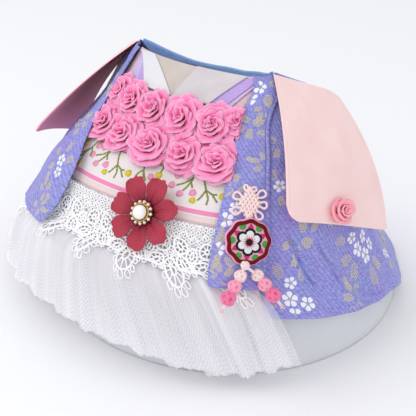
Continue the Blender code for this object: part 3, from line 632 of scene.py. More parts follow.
# On the back they lie in rows that are set half a step apart, with a little chance
BACK_ROWS, BACK_COLUMNS = 5, 9
BACK_FIRST, BACK_STEP = (122, 1.0), (14.5, 0.85)
random.seed(11)
BACK_MOTIFS = []
for row in range(BACK_ROWS):
    for column in range(BACK_COLUMNS):
        chart = (CLUSTER, SPRIG, SMALL_SPRAY)[(row + column * 2) % 3]
        angle = BACK_FIRST[0] + BACK_STEP[0] * column + (7 if row % 2 else 0) + random.uniform(-1.5, 1.5)
        station = BACK_FIRST[1] + BACK_STEP[1] * row + random.uniform(-0.08, 0.08)
        BACK_MOTIFS.append((chart, angle, station, random.uniform(0, 360), 0.95))


def back_keep(angle, station):
    return (angle > 119) & (angle < 241) & (station > 0.2) & (station < HEM_BACK - 0.05)


def on_back(angle, station, out):
    return on_cape(np.where(np.asarray(angle) > 180, angle - 360, angle), station, out)


CAPE_STEPS = (0.5, 0.02)
left_figure = weave_figure("cape_left_figure", on_cape, LEFT_SIDE_MOTIFS, CAPE_STEPS, side_keep)
right_figure = weave_figure("cape_right_figure", on_cape, RIGHT_SIDE_MOTIFS, CAPE_STEPS, side_keep)
back_figure = weave_figure("cape_back_figure", on_back, BACK_MOTIFS, CAPE_STEPS, back_keep)
for piece, node, figure, flat, area in (
    (cape_left, "cape_left", left_figure, (0.15, 0.17), 0.0205),
    (cape_right, "cape_right", right_figure, (0.15, 0.17), 0.0205),
    (cape_back, "cape_back", back_figure, (0.36, 0.21), 0.054),
):
    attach(piece, "root")
    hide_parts(node)
    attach(figure, "root")

# The two lapels
# Long folded bands of the same brocade, sewn along their outer edge. The seam shows as a corded fold
# with a dark line beside it and a row of pinkish thread.
LAPEL_BOTTOM = 4.28
LAPEL_INNER = (52, 32.5, 31.7, 31.5, 32, 32)
LAPEL_INNER_RIGHT = (60, 37, 31, 22, 24, 30)
# How far each lapel stands off the lie, by station: along its inner edge, and along its seam
LAPEL_OFF = {
    1: ((3.6, 3.8, 4.2, 6.0, 11.0, 14.0), (1.5, 1.5, 1.5, 1.8, 5.5, 9.0)),
    -1: ((4.0, 5.0, 7.0, 9.5, 14.8, 18.0), (1.5, 1.5, 1.6, 2.8, 11.2, 16.5)),
}
LAPEL_WALL = 1.2
LAPEL_CURVE = 2.5
# Soft creases across the lapels. Columns: place down, slant, width, depth
LAPEL_CREASES = (
    (0.16, 0.05, 0.022, -0.5),
    (0.34, -0.06, 0.03, -0.45),
    (0.52, 0.05, 0.02, -0.35),
    (0.86, -0.04, 0.03, -0.4),
)
# The corded fold by the seam and the groove beside it. Columns: place across, width, height
LAPEL_CORD, LAPEL_GROOVE = (0.965, 0.025, 0.7), (0.905, 0.018, -0.55)
LAPEL_STITCHES_AT = 0.925


def lapel(hand, s, t, out=0.0):
    """A point of a lapel: s is 0 at its inner edge and 1 at its seam."""
    s, t = spread(s, t)
    station = mix(0.03, LAPEL_BOTTOM, t)
    inner, seam = LAPEL_OFF[hand]
    off = mix(spline(inner, station), spline(seam, station), np.clip(s, 0, None) ** LAPEL_CURVE)
    inner_line = LAPEL_INNER if hand > 0 else LAPEL_INNER_RIGHT
    angle = mix(spline(inner_line, station), spline(LAPEL_SEAM, station), s)
    fold = np.zeros_like(s)
    for down, slant, width, depth in LAPEL_CREASES:
        away = (t - down - slant * (s - 0.5)) / width
        fold = fold + depth * np.exp(-away * away) * (0.4 + 0.6 * s)
    for across, width, height in LAPEL_CORD, LAPEL_GROOVE:
        fold = fold + height * np.exp(-(((s - across) / width) ** 2))
    return lie(hand * angle, station, off + fold + out)


def on_lapel(hand):
    return lambda a, b, out: lapel(hand, a, b, LAPEL_WALL + np.asarray(out))


def keep_lapel(a, b):
    return (a > 0.03) & (a < 0.93) & (b > 0.01) & (b < 0.985)


def geometry_tree(name, sockets):
    """A Geometry Nodes tree with named inputs, and its group input and output nodes."""
    tree = bpy.data.node_groups.new(name, "GeometryNodeTree")
    for socket, kind in {"Geometry": "Geometry", **sockets}.items():
        tree.interface.new_socket(socket, in_out="INPUT", socket_type="NodeSocket" + kind)
    tree.interface.new_socket("Geometry", in_out="OUTPUT", socket_type="NodeSocketGeometry")
    return tree, tree.nodes.new("NodeGroupInput"), tree.nodes.new("NodeGroupOutput")


def end_tree(given, made, shape):
    """Ends a tree: what it makes becomes real mesh in the given material."""
    tree = made.id_data
    real = add(tree, "RealizeInstances", {"Geometry": shape})
    coloured = add(tree, "SetMaterial", {"Geometry": real, "Material": given.outputs["Material"]})
    feed(made, {"Geometry": coloured})


def grown(name, lines, tree, inputs, closed=False):
    """Runs a tree over lines of points in mm, and returns what it makes as one plain mesh."""
    mesh = bpy.data.meshes.new(name)
    points, edges = [], []
    for line in lines:
        start = len(points)
        points += [tuple(p * MM) for p in np.asarray(line, float)]
        edges += [(start + i, start + i + 1) for i in range(len(line) - 1)]
        if closed:
            edges.append((start + len(line) - 1, start))
    mesh.from_pydata(points, edges, [])
    guide = bpy.data.objects.new(name + "_guide", mesh)
    bpy.context.scene.collection.objects.link(guide)
    modifier = guide.modifiers.new("grow", "NODES")
    modifier.node_group = tree
    identifiers = {i.name: i.identifier for i in tree.interface.items_tree if i.in_out == "INPUT"}
    for socket, value in inputs.items():
        modifier[identifiers[socket]] = value
    graph = bpy.context.evaluated_depsgraph_get()
    plain = bpy.data.meshes.new_from_object(guide.evaluated_get(graph))
    made = bpy.data.objects.new(name, plain)
    bpy.context.scene.collection.objects.link(made)
    bpy.data.objects.remove(guide, do_unlink=True)
    return made


# Stitches are set along a line of points by one tree of Geometry Nodes
sockets = {"Pitch": "Float", "Length": "Float", "Thread": "Float", "Material": "Material"}
stitch_tree, given, made = geometry_tree("stitches_along_a_line", sockets)
line = add(stitch_tree, "MeshToCurve", {"Mesh": given.outputs["Geometry"]})
spots = add(stitch_tree, "CurveToPoints", {"Curve": line, "Length": given.outputs["Pitch"]}, mode="LENGTH")
thread = add(stitch_tree, "MeshUVSphere", {"Segments": 6, "Rings": 5, "Radius": 0.5})
stitch_wide, stitch_long = given.outputs["Thread"], given.outputs["Length"]
stitch_size = add(stitch_tree, "ShaderNodeCombineXYZ", {"X": stitch_wide, "Y": stitch_wide, "Z": stitch_long})
laid_stitch = add(
    stitch_tree,
    "InstanceOnPoints",
    {"Points": spots, "Instance": thread, "Rotation": spots.outputs["Rotation"], "Scale": stitch_size},
)
end_tree(given, made, laid_stitch)

# Pinkish polyester sewing thread, with a slight shine
seam_thread, tree, shader = blank_material("pinkish_sewing_thread")
dress(shader, {"Base Color": "#b98aa6", "Roughness": 0.45, "Sheen Weight": 0.2})

LAPEL_MOTIFS = {
    1: (
        (SMALL_SPRAY, 0.24, 0.095, 60, 0.85),
        (SPRIG, 0.80, 0.235, 20, 0.7),
        (SPRIG, 0.42, 0.315, 60, 0.85),
        (SPRIG, 0.80, 0.47, 100, 0.7),
        (SPRIG, 0.20, 0.575, 100, 0.85),
        (SMALL_SPRAY, 0.16, 0.70, 250, 0.95),
        (SMALL_SPRAY, 0.12, 0.815, 120, 0.9),
        (SPRIG, 0.18, 0.945, 160, 0.9),
    ),
    -1: (
        (SPRIG, 0.40, 0.30, 20, 0.8),
        (SPRIG, 0.45, 0.52, 140, 0.8),
        (SMALL_SPRAY, 0.32, 0.69, 60, 0.9),
        (SPRIG, 0.35, 0.83, 200, 0.85),
        (SPRIG, 0.25, 0.94, 90, 0.85),
    ),
}
for hand, name in ((1, "lapel_left"), (-1, "lapel_right")):

    def place(s, t, hand=hand):
        return lapel(hand, s if hand > 0 else 1 - s, t)

    band = cloth_wall(name + "_band", place, (30, 175), (34, 120), LAPEL_WALL, 0.8, crepe)
    figure = weave_figure(name + "_figure", on_lapel(hand), LAPEL_MOTIFS[hand], (0.02, 0.01), keep_lapel)
    down = np.linspace(0.01, 0.99, 60)
    seam = grown(
        name + "_seam",
        [lapel(hand, np.full_like(down, LAPEL_STITCHES_AT), down, LAPEL_WALL + 0.02)],
        stitch_tree,
        {"Pitch": 0.0026, "Length": 0.0016, "Thread": 0.00028, "Material": seam_thread},
    )
    for piece in (band, figure, seam):
        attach(piece, "root")
    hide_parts(name)

# The neck binding
# A sky-blue satin strip folded over the neck's raw edge at the back, with a fold that rides up where
# the neck is widest. Satin floats make it smooth, with a soft streak of light along the roll painted into its
# colour.
BINDING_FROM, BINDING_TO = 104, 258
BINDING_TOP = (185.8, 182.6, 180.8, 178.4, 177.6, 176.4, 176.4, 178.5, 181.5, 185.0, 187.4)
BINDING_IN, BINDING_RAISED = 0.6, 1.3
BINDING_WALL = 2.2

# Satin drawn along the neck: fine streaks of light along its floats, painted into its colour as sheen
sky_satin, tree, shader, flat_place = cloth_material("sky_blue_satin")
drawn = add(tree, "Mapping", {"Vector": flat_place, "Scale": (0.3, 1.6, 1.0)})
drawn_streak_painted_sheen = add(tree, "TexNoise", {"Vector": drawn, "Scale": 0.6, "Detail": 3.0})
dress(shader, {"Roughness": 0.42, "Sheen Weight": 0.25}, (drawn_streak_painted_sheen, "#5f88c4", "#8fb2e2"), (drawn_streak_painted_sheen, 0.35, 0.0006))


def binding_place(s, t):
    """A point of the binding: s runs along the neck, t down from its folded edge."""
    angle = mix(BINDING_FROM, BINDING_TO, s)
    foot = lie(angle, np.full_like(s, -0.03), np.full_like(s, -BINDING_IN)) + (0, 0, BINDING_RAISED)
    top_z = spline(BINDING_TOP, s * (len(BINDING_TOP) - 1))
    rise = (top_z - foot[..., 2])[..., None] * (1 - t)[..., None] * np.array([0, 0, 1.0])
    roll = np.sin(math.pi * t) ** 2
    tall = np.clip((top_z - foot[..., 2] - 4) / 6, 0, 1)
    crease = 0.8 * tall * np.exp(-(((t - 0.45 - 0.25 * s) / 0.07) ** 2))
    inward = foot * (1, 1, 0) - np.array([0, -14.0, 0])
    inward /= np.linalg.norm(inward, axis=-1, keepdims=True)
    return foot + rise + inward * (0.35 * roll + crease * 0.6)[..., None]


binding = cloth_wall("neck_binding_satin", binding_place, (160, 9), (120, 12), BINDING_WALL, 1.5, sky_satin)
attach(binding, "root")
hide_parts("neck_binding")

# The bib
# A plain pale pink cotton panel under all that lies at the front. The collar, the roses and the printed
# band are sewn on it.
NECK_EDGE = 0.08
PRINT_BOTTOM = 3.02
BIB_EXTRA = 1.5
# A wave pattern of scale 1 has bands this wide, in mm
WAVE_BAND = 0.314


def plain_weave(name, dark, light, thread_mm, roughness, sheen, strength=0.3):
    """A plain-woven cloth: two sets of threads at right angles, in two shades of one colour."""
    made, tree, shader, flat = cloth_material(name)
    warp = add(tree, "TexWave", {"Vector": flat, "Scale": WAVE_BAND / thread_mm}, bands_direction="X")
    weft = add(tree, "TexWave", {"Vector": flat, "Scale": WAVE_BAND / thread_mm}, bands_direction="Y")
    crossed = add(tree, "Math", {0: warp.outputs["Fac"], 1: weft.outputs["Fac"]}, operation="MULTIPLY")
    slub = add(tree, "TexNoise", {"Vector": flat, "Scale": 0.35, "Detail": 4.0})
    both = add(tree, "Math", {0: crossed, 1: 0.5, 2: slub}, operation="MULTIPLY_ADD")
    finish = {"Roughness": roughness, "Sheen Weight": sheen}
    dress(shader, finish, (both, dark, light), (both, strength, 0.0002))
    return made


# Combed cotton: matt, with a thread of 0.5 mm
pink_cotton = plain_weave("pale_pink_cotton", "#e3b9bb", "#f3d3d3", 0.5, 0.85, 0.1)


def bib_place(s, t):
    station = mix(NECK_EDGE, PRINT_BOTTOM, t)
    edge = (spline(LAPEL_INNER, station) + spline(LAPEL_SEAM, station)) / 2 + BIB_EXTRA
    return lie(mix(-edge, edge, s), station)


bib = cloth_wall("bib_panel_cotton", bib_place, (120, 110), (60, 50), CLOTH, 0.8, pink_cotton)
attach(bib, "root")
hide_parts("bib_panel")

# The crossing collar
# Folded strips laid over one another as a hanfu's layered collars are: a beige satin inset, a white
# strip with a woven dot, a pearl-grey satin strip over it, and lilac crepe at each side.
GAP, THIN = 0.35, 0.8
LAYER_1 = CLOTH + GAP
LAYER_2 = LAYER_1 + THIN + GAP


def at_width(x, station, out):
    """Points of the cloth's front that lie x to the wearer's left."""
    reach = np.clip(x / spline(SECTION_TABLE["half_width"], station), -0.98, 0.98)
    return lie(np.degrees(np.arcsin(reach)), station, out)


def satin(name, dark, light, roughness=0.38):
    """Satin: long floats that run one way, so it is smooth, with a faint streak along them painted into its
    colour as sheen.
    """
    made, tree, shader, flat = cloth_material(name)
    run = add(tree, "Mapping", {"Vector": flat, "Scale": (3.2, 0.16, 1.0)})
    float_streak_painted_sheen = add(tree, "TexNoise", {"Vector": run, "Scale": 0.9, "Detail": 3.0})
    soft = add(tree, "TexNoise", {"Vector": flat, "Scale": 0.045, "Detail": 1.0})
    both = add(tree, "Math", {0: float_streak_painted_sheen, 1: 0.35, 2: soft}, operation="MULTIPLY_ADD")
    dress(shader, {"Roughness": roughness, "Sheen Weight": 0.15}, (both, dark, light), (float_streak_painted_sheen, 0.12, 0.0002))
    return made


beige_satin = satin("beige_satin", "#b9aca3", "#d2c6be")
grey_satin = satin("pearl_grey_satin", "#c0b8bc", "#d6cfd2")
# Fine crepe: matt, with a soft grain of thread 0.6 mm apart
lilac_crepe = plain_weave("lilac_crepe", "#a98bd2", "#cbb0ea", 0.6, 0.6, 0.3, 0.35)
pale_lilac = plain_weave("pale_lilac_crepe", "#bda6de", "#d9c6f0", 0.6, 0.6, 0.3, 0.35)

# A dobby weave: white cotton with a small raised dot every 1.7 mm
white_dobby, tree, shader, flat_place = cloth_material("white_dobby_cotton")
dots = add(tree, "TexVoronoi", {"Vector": flat_place, "Scale": 0.62, "Randomness": 0.25})
near_dot = {"Value": dots, "From Min": 0.15, "From Max": 0.5, "To Min": 1.0, "To Max": 0.0}
raised = add(tree, "MapRange", near_dot)
dress(shader, {"Roughness": 0.8}, (raised, "#e4e5e9", "#ffffff"), (raised, 0.6, 0.0004))

# Each strip: name, node, slot, layer, cloth, its corners as x in mm and station, upper two first, its
# width and height as cut, and its area in square mm
COLLAR_STRIPS = (
    (
        ("collar_beige_inset", "collar_beige", "beige_satin", LAYER_1, beige_satin),
        ((-38, 0.1), (6, 0.1), (-5.2, 0.97), (-2.8, 0.97)),
        (50, 40, 800),
    ),
    (
        ("collar_lilac_right_strip", "collar_lilac_right", "lilac_crepe", LAYER_1, lilac_crepe),
        ((-47.5, 0.14), (-40.5, 0.12), (-40, 1.0), (-29, 1.0)),
        (14, 40, 306),
    ),
    (
        ("collar_lilac_right_edge", None, "lilac_crepe", LAYER_1 - 0.25, pale_lilac),
        ((-51.0, 0.25), (-46.5, 0.14), (-49.5, 0.93), (-38.5, 0.98)),
        (12, 34, 223),
    ),
    (
        ("collar_white_strip", "collar_white", "white_weave", LAYER_2, white_dobby),
        ((-51, 0.12), (-36, 0.1), (-30.5, 1.0), (-4.2, 1.0)),
        (30, 40, 720),
    ),
    (
        ("collar_lilac_left_strip", "collar_lilac_left", "lilac_crepe", LAYER_1, lilac_crepe),
        ((40.5, 0.13), (50, 0.15), (20, 1.0), (36.2, 1.0)),
        (18, 40, 470),
    ),
    (
        ("collar_lilac_left_edge", None, "lilac_crepe", LAYER_1 + 0.1, pale_lilac),
        ((47.6, 0.36), (50.2, 0.30), (36.4, 1.0), (39.6, 1.0)),
        (10, 30, 90),
    ),
    (
        ("collar_grey_strip", "collar_grey", "grey_satin", LAYER_2, grey_satin),
        ((3, 0.1), (42, 0.1), (-3.6, 1.0), (25, 1.0)),
        (45, 40, 1180),
    ),
)
for (name, node, slot, layer, cloth), corners, (wide, tall, area) in COLLAR_STRIPS:

    def place(s, t, corners=corners, layer=layer):
        (x0, s0), (x1, s1), (x2, s2), (x3, s3) = corners
        x = mix(mix(x0, x1, s), mix(x2, x3, s), t)
        station = mix(mix(s0, s1, s), mix(s2, s3, s), t)
        return at_width(x, station, np.full_like(x, layer))

    strip = cloth_wall(name, place, (wide, tall), (14, 16), THIN, 0.6, cloth)
    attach(strip, "root")
    if node:
        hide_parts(node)
    cut = (wide * MM, tall * MM)

# A row of lilac thread along the left lilac strip's edge
down = np.linspace(0.04, 0.96, 30)
edge_thread = grown(
    "collar_lilac_stitches",
    [at_width(mix(47.2, 35.6, down), mix(0.36, 1.0, down), np.full_like(down, LAYER_1 + THIN + 0.1))],
    stitch_tree,
    {"Pitch": 0.0024, "Length": 0.0014, "Thread": 0.0003, "Material": seam_thread},
)
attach(edge_thread, "root")

# The two flaps
# Short square sleeves of pale pink satin, doubled and turned, so the edge is a soft roll with a seam
# line just inside it. The nearer front corner is rounded. Each is sewn along the shoulder alone.
FLAP_TOP = ((81, 0.03), (94, 1.0))
FLAP_FOOT = (np.array([109.0, -98.0, 122.0]), np.array([140.0, -14.0, 85.5]))
FLAP_OFF = 1.45
FLAP_WALL = 1.8
FLAP_BULGE = {1: (4.0, 9.0), -1: (3.0, 5.5)}
FLAP_CORNER_FRONT, FLAP_CORNER_REAR, FLAP_SEAM = 0.13, 0.04, 0.006

blush_satin = satin("blush_satin", "#efc6c6", "#f9dbd9", 0.4)

# The lining's colour runs from deep wine under the shoulder to paler rose towards its edge: painted shade
# under the shoulder
flap_lining, tree, shader, flat_place = cloth_material("rose_satin_lining")
down_flap = add(tree, "SeparateXYZ", {"Vector": flat_place})
lining_painted_shade_ramp = add(tree, "MapRange", {"Value": down_flap.outputs["Y"], "From Min": 20.0, "From Max": 78.0})
dress(shader, {"Roughness": 0.7, "Specular IOR Level": 0.2}, (lining_painted_shade_ramp, "#7e0e30", "#ffacba"))


def flap(hand, s, t, out=0.0):
    """A point of a flap: s runs from its front edge to its rear edge, t from the shoulder down."""
    s, t = spread(s, t)
    (a0, s0), (a1, s1) = FLAP_TOP
    top = lie(hand * mix(a0, a1, s), mix(s0, s1, s), np.full_like(s, FLAP_OFF)) * (hand, 1, 1)
    foot = mix(FLAP_FOOT[0], FLAP_FOOT[1], s[..., None])
    facing = np.cross(foot - top, FLAP_FOOT[1] - FLAP_FOOT[0])
    facing /= np.linalg.norm(facing, axis=-1, keepdims=True)
    bulge = mix(*FLAP_BULGE[hand], s) * 4 * t * (1 - t) + 3.0 * np.sin(math.pi * s) * t
    ripple = 0.35 * np.sin(7 * s + 2.5 * t) * np.sin(3.1 * t + 1.0) * t
    point = mix(top, foot, t[..., None]) + facing * (bulge + ripple + out)[..., None]
    return point * (hand, 1, 1)


def flap_reach(s):
    """How far down the flap's edge lies, with its two lower corners rounded."""
    reach = np.ones_like(s)
    for corner, radius in ((s, FLAP_CORNER_FRONT), (1 - s, FLAP_CORNER_REAR)):
        near = np.clip(1 - corner / radius, 0, 1)
        reach = np.where(near > 0, 1 - radius * (1 - np.sqrt(1 - near * near)), reach)
    return reach


for hand, name in ((1, "flap_left"), (-1, "flap_right")):

    def place(s, t, hand=hand):
        from_front = s if hand > 0 else 1 - s
        down = t * flap_reach(from_front)
        front_seam_line = 0.35 * np.exp(-(((from_front - 0.028) / FLAP_SEAM) ** 2))
        foot_seam_line = 0.3 * np.exp(-(((down - 0.975) / FLAP_SEAM) ** 2))
        return flap(hand, from_front, down, -front_seam_line - foot_seam_line)

    size, steps = (92, 82), (70, 60)
    satin_flap = cloth_wall(name + "_satin", place, size, steps, FLAP_WALL, 1.3, blush_satin, flap_lining)
    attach(satin_flap, "root")
    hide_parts(name)

# The rose trim
# A pink net band with two rows of chiffon roses. Each rose is a bias strip gathered and coiled, so its
# raw upper edges stand as thin rims round its heart. The rims' pale pink is painted highlight, the heart's
# deep pink painted shade.
ROSE_TOP, ROSE_BOTTOM = 1.04, 2.27
TRIM_SIZE = (112.0, 47.0)
# Chiffon's colour runs up each petal from deep pink at its foot, painted shade, to pale at its rim, painted
# highlight
chiffon, tree, shader, flat_place = cloth_material("pink_chiffon")
up_petal = add(tree, "SeparateXYZ", {"Vector": flat_place}).outputs["Y"]
petal_painted_shade_and_highlight = add(tree, "ValToRGB", {"Fac": up_petal})
steps = petal_painted_shade_and_highlight.color_ramp.elements
steps[0].color = linear("#cc2c6e")
steps[1].color = linear("#ffcfe4")
for position, code in ((0.3, "#ee4f96"), (0.62, "#ff7fbb"), (0.93, "#ff9ccc")):
    steps.new(position).color = linear(code)
where = add(tree, "TexCoord").outputs["Object"]
gather = add(tree, "TexNoise", {"Vector": where, "Scale": 300.0, "Detail": 3.0})
dress(shader, {"Base Color": petal_painted_shade_and_highlight, "Roughness": 0.75, "Sheen Weight": 0.3}, relief=(gather, 0.6, 0.001))

# Stiff net: its threads, drawn 1.2 mm apart so that they show, give the band a fine grid
pink_net = plain_weave("pink_net_band", "#e07fa8", "#f6b4cd", 1.2, 0.8, 0.2, 0.6)


def across_front(s, t, top, bottom, edge_line, beyond, out=0.0):
    """A point of a band across the front. Its ends follow an edge line, so many degrees beyond it."""
    station = mix(top, bottom, t)
    edge = spline(edge_line, station) + beyond
    return lie(mix(-edge, edge, s), station, out)


def trim_at(s, t, out=0.0):
    return across_front(s, t, ROSE_TOP, ROSE_BOTTOM, LAPEL_INNER, -0.6, LAYER_1 + out)


trim_band = cloth_wall("rose_trim_net", trim_at, TRIM_SIZE, (60, 26), CLOTH, 0.6, pink_net)

# Rings of petals in one rose: petals, radius at the foot and at the rim, height, share of a turn
ROSE_RINGS = (
    (2, 0.7, 1.9, 8.0, 0.75),
    (3, 1.9, 4.6, 8.6, 0.52),
    (3, 3.6, 7.8, 7.6, 0.50),
    (4, 5.8, 11.2, 5.9, 0.42),
    (4, 8.4, 14.4, 3.6, 0.42),
)
# Where the roses sit on the band: across, down, size
ROSE_PLACES = (
    (0.02, 0.22, 0.92),
    (0.19, 0.25, 1.0),
    (0.39, 0.25, 1.0),
    (0.62, 0.26, 1.08),
    (0.85, 0.30, 1.12),
    (1.0, 0.20, 0.85),
    (0.07, 0.72, 1.0),
    (0.27, 0.76, 1.0),
    (0.49, 0.76, 1.08),
    (0.72, 0.78, 1.05),
    (0.93, 0.83, 1.08),
)
# Points across and up a petal, and how far up its lip starts to roll outwards
ROSE_GRID, LIP_FROM = (21, 9), 0.84
ROSE_CRUMPLE = 0.58


def coil_rose(seed, rings, size, crumple):
    """A coiled rose on the flat: x, y and height of its points, its faces, and u, v for its material."""
    luck = random.Random(seed)
    points, faces, marks = [], [], []
    across, up = ROSE_GRID
    for count, foot, rim, height, span in rings:
        first = luck.uniform(0, 2 * math.pi)
        for k in range(count):
            middle = first + 2 * math.pi * (k + luck.uniform(-0.2, 0.2)) / count
            swell = luck.uniform(0.84, 1.12)
            wave = luck.uniform(0, 6.28)
            tuck = luck.uniform(0.8, 1.9)
            u, v = np.meshgrid(np.linspace(-1, 1, across), np.linspace(0, 1, up))
            turn = middle + u * math.pi * span * 1.2
            ruffle = np.sin(4.2 * u + wave) + 0.5 * np.sin(9.5 * u + 2 * wave)
            tall = height * swell * (1 - 0.5 * np.abs(u) ** 2.4) * (1 + 0.09 * ruffle)
            radius = foot + (rim * swell - foot) * v**1.4 * (1 - 0.12 * u * u) + tuck * u * (0.4 + 0.6 * v)
            crush = np.sin(13 * u + 5 * v + 3 * wave) + 0.7 * np.sin(7 * v - 6 * u + wave)
            radius = radius + 0.13 * rim**0.8 * ruffle * v**1.5 + crumple * crush * v
            lip = np.clip((v - LIP_FROM) / (1 - LIP_FROM), 0, 1)
            radius = radius + 0.55 * lip**2
            lift = tall * np.sin(v * math.pi / 2 * 0.96) - 0.6 * lip**2
            lift = lift + (0.35 * ruffle + 0.9 * crumple * crush) * v
            start = sum(len(p) for p in points)
            petal = stack(radius * np.cos(turn), radius * np.sin(turn), lift)
            points.append(petal.reshape(-1, 3) * size)
            marks.append(stack(u * 8, v).reshape(-1, 2))
            faces.append(grid_faces(up, across, start))
    return np.concatenate(points), np.concatenate(faces), np.concatenate(marks)


points, faces, marks = [], [], []
for number, (across, down, size) in enumerate(ROSE_PLACES):
    rose, quads, mark = coil_rose(number + 3, ROSE_RINGS, size, ROSE_CRUMPLE)
    low = np.clip(across + rose[:, 0] / TRIM_SIZE[0], -0.035, 1.035)
    start = sum(len(p) for p in points)
    points.append(trim_at(low, down + rose[:, 1] / TRIM_SIZE[1], CLOTH + 0.1 + rose[:, 2]))
    faces.append(quads + start)
    marks.append(mark)
points, faces, marks = (np.concatenate(parts) for parts in (points, faces, marks))
roses = mesh_object("chiffon_roses", points, faces, chiffon, marks)
chiffon_wall = roses.modifiers.new("chiffon", "SOLIDIFY")
chiffon_wall.thickness = 0.16 * MM
for piece in (trim_band, roses):
    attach(piece, "root")
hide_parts("rose_trim")

# The printed waist band
# Off-white cotton felt, printed with olive twigs that hang from its upper edge, pink and yellow dots
# and one pink stripe. Below it runs a narrow pink-beige mesh edging.
PRINT_SIZE = (130.0, 26.0)
EDGING_BOTTOM = 3.13
STRIPE_AT, STRIPE_WIDE = 23.0, 2.9

cotton_felt, tree, shader, flat_place = cloth_material("off_white_felt")
down_band = add(tree, "SeparateXYZ", {"Vector": flat_place}).outputs["Y"]
from_stripe = add(tree, "Math", {0: down_band, 1: STRIPE_AT}, operation="SUBTRACT")
away = add(tree, "Math", {0: from_stripe}, operation="ABSOLUTE")
in_stripe = add(tree, "Math", {0: away, 1: STRIPE_WIDE / 2}, operation="LESS_THAN")
fuzz = add(tree, "TexNoise", {"Vector": flat_place, "Scale": 1.1, "Detail": 5.0, "Roughness": 0.7})
felt = {"Factor": fuzz, "A": "#ddd2d0", "B": "#f8f3f2"}
stripe = {"Factor": in_stripe, "A": add(tree, "Mix", felt, data_type="RGBA"), "B": "#f08cb6"}
stripe_tone = add(tree, "Mix", stripe, data_type="RGBA")
dress(shader, {"Base Color": stripe_tone, "Roughness": 0.95, "Sheen Weight": 0.3}, relief=(fuzz, 0.5, 0.0004))


def flat_ink(name, dark, light):
    """Printing ink on felt: matt, and slightly uneven where the nap shows through."""
    return grained(name, 1300.0, 3.0, {"Roughness": 0.9}, (dark, light), (0.4, 0.0003))


olive_ink = flat_ink("olive_ink", "#6f7a2c", "#9aa552")
pink_ink = flat_ink("pink_ink", "#ea86ad", "#fbb4cd")
yellow_ink = flat_ink("yellow_ink", "#cdb818", "#ead84a")
# How many degrees the band and its edging run on under the lapels
UNDER_LAPEL = 5


def print_at(s, t, out=0.0):
    return across_front(s, t, ROSE_BOTTOM + 0.015, PRINT_BOTTOM, LAPEL_INNER, UNDER_LAPEL, LAYER_1 + out)


def edging_at(s, t):
    top, bottom = PRINT_BOTTOM - 0.006, EDGING_BOTTOM + 0.012
    return across_front(s, t, top, bottom, LAPEL_INNER, UNDER_LAPEL, LAYER_1 + 0.1)


print_band = cloth_wall("print_band_felt", print_at, PRINT_SIZE, (60, 24), CLOTH, 0.35, cotton_felt)

# Twigs, charted in mm from where each leaves the upper edge: its strokes, then its dots as
# x, y, radius and ink, pink 1 and yellow 2
TWIGS = (
    (
        (
            ((0, -1), (-1, 4), (-1.5, 6)),
            ((-0.7, 3), (-5, 7), (-9.5, 9.5)),
            ((-1.2, 5), (-3, 9.5), (-4.5, 12)),
            ((-1.2, 6), (0.6, 9)),
        ),
        ((-12.3, 10, 2.3, 1), (-5.6, 14.2, 2.2, 1), (1.8, 12, 2.3, 1)),
    ),
    (
        (
            ((0, -1), (1.5, 4), (4, 9)),
            ((4, 9), (2, 14), (0.8, 16)),
            ((4, 9), (6.5, 14), (6.4, 18)),
            ((4, 9), (8, 11), (12, 15.5)),
            ((8, 11), (11, 10.8)),
        ),
        ((14.4, 11.6, 2.4, 2), (-2, 16.6, 2.0, 2)),
    ),
    (
        (
            ((0, -1), (1, 5), (4, 12), (3.2, 17)),
            ((1.6, 6), (-1, 9), (-2, 12)),
            ((2.5, 8), (6, 12.5)),
            ((3.8, 12), (6.5, 16)),
        ),
        ((-8, 2.6, 2.2, 1), (8.2, 9, 2.4, 1), (9.4, 17.2, 2.2, 1), (3.0, 19.2, 2.1, 2)),
    ),
    ((((0, -1), (-0.4, 3), (-0.6, 4.6)),), ((-1, 6.6, 2.4, 2), (11, 3.0, 2.6, 1))),
)
# Which twig hangs where: twig, mm across the band, and 1 or -1 where it is turned over
TWIG_PLACES = (
    *((3, 14, 1), (2, 22, -1), (0, 37, 1), (1, 43, 1), (2, 65, 1)),
    *((3, 79, 1), (0, 101, 1), (1, 106, 1), (3, 124, 1)),
)
STROKE_POINTS, DOT_SIDES = 9, 14
INK_LIFT, INK_FILM = 0.12, 0.1


def on_band(ring):
    """Points of the band's face, from mm across and down it."""
    ring = np.asarray(ring, float)
    return print_at(ring[:, 0] / PRINT_SIZE[0], ring[:, 1] / PRINT_SIZE[1], CLOTH + INK_LIFT)


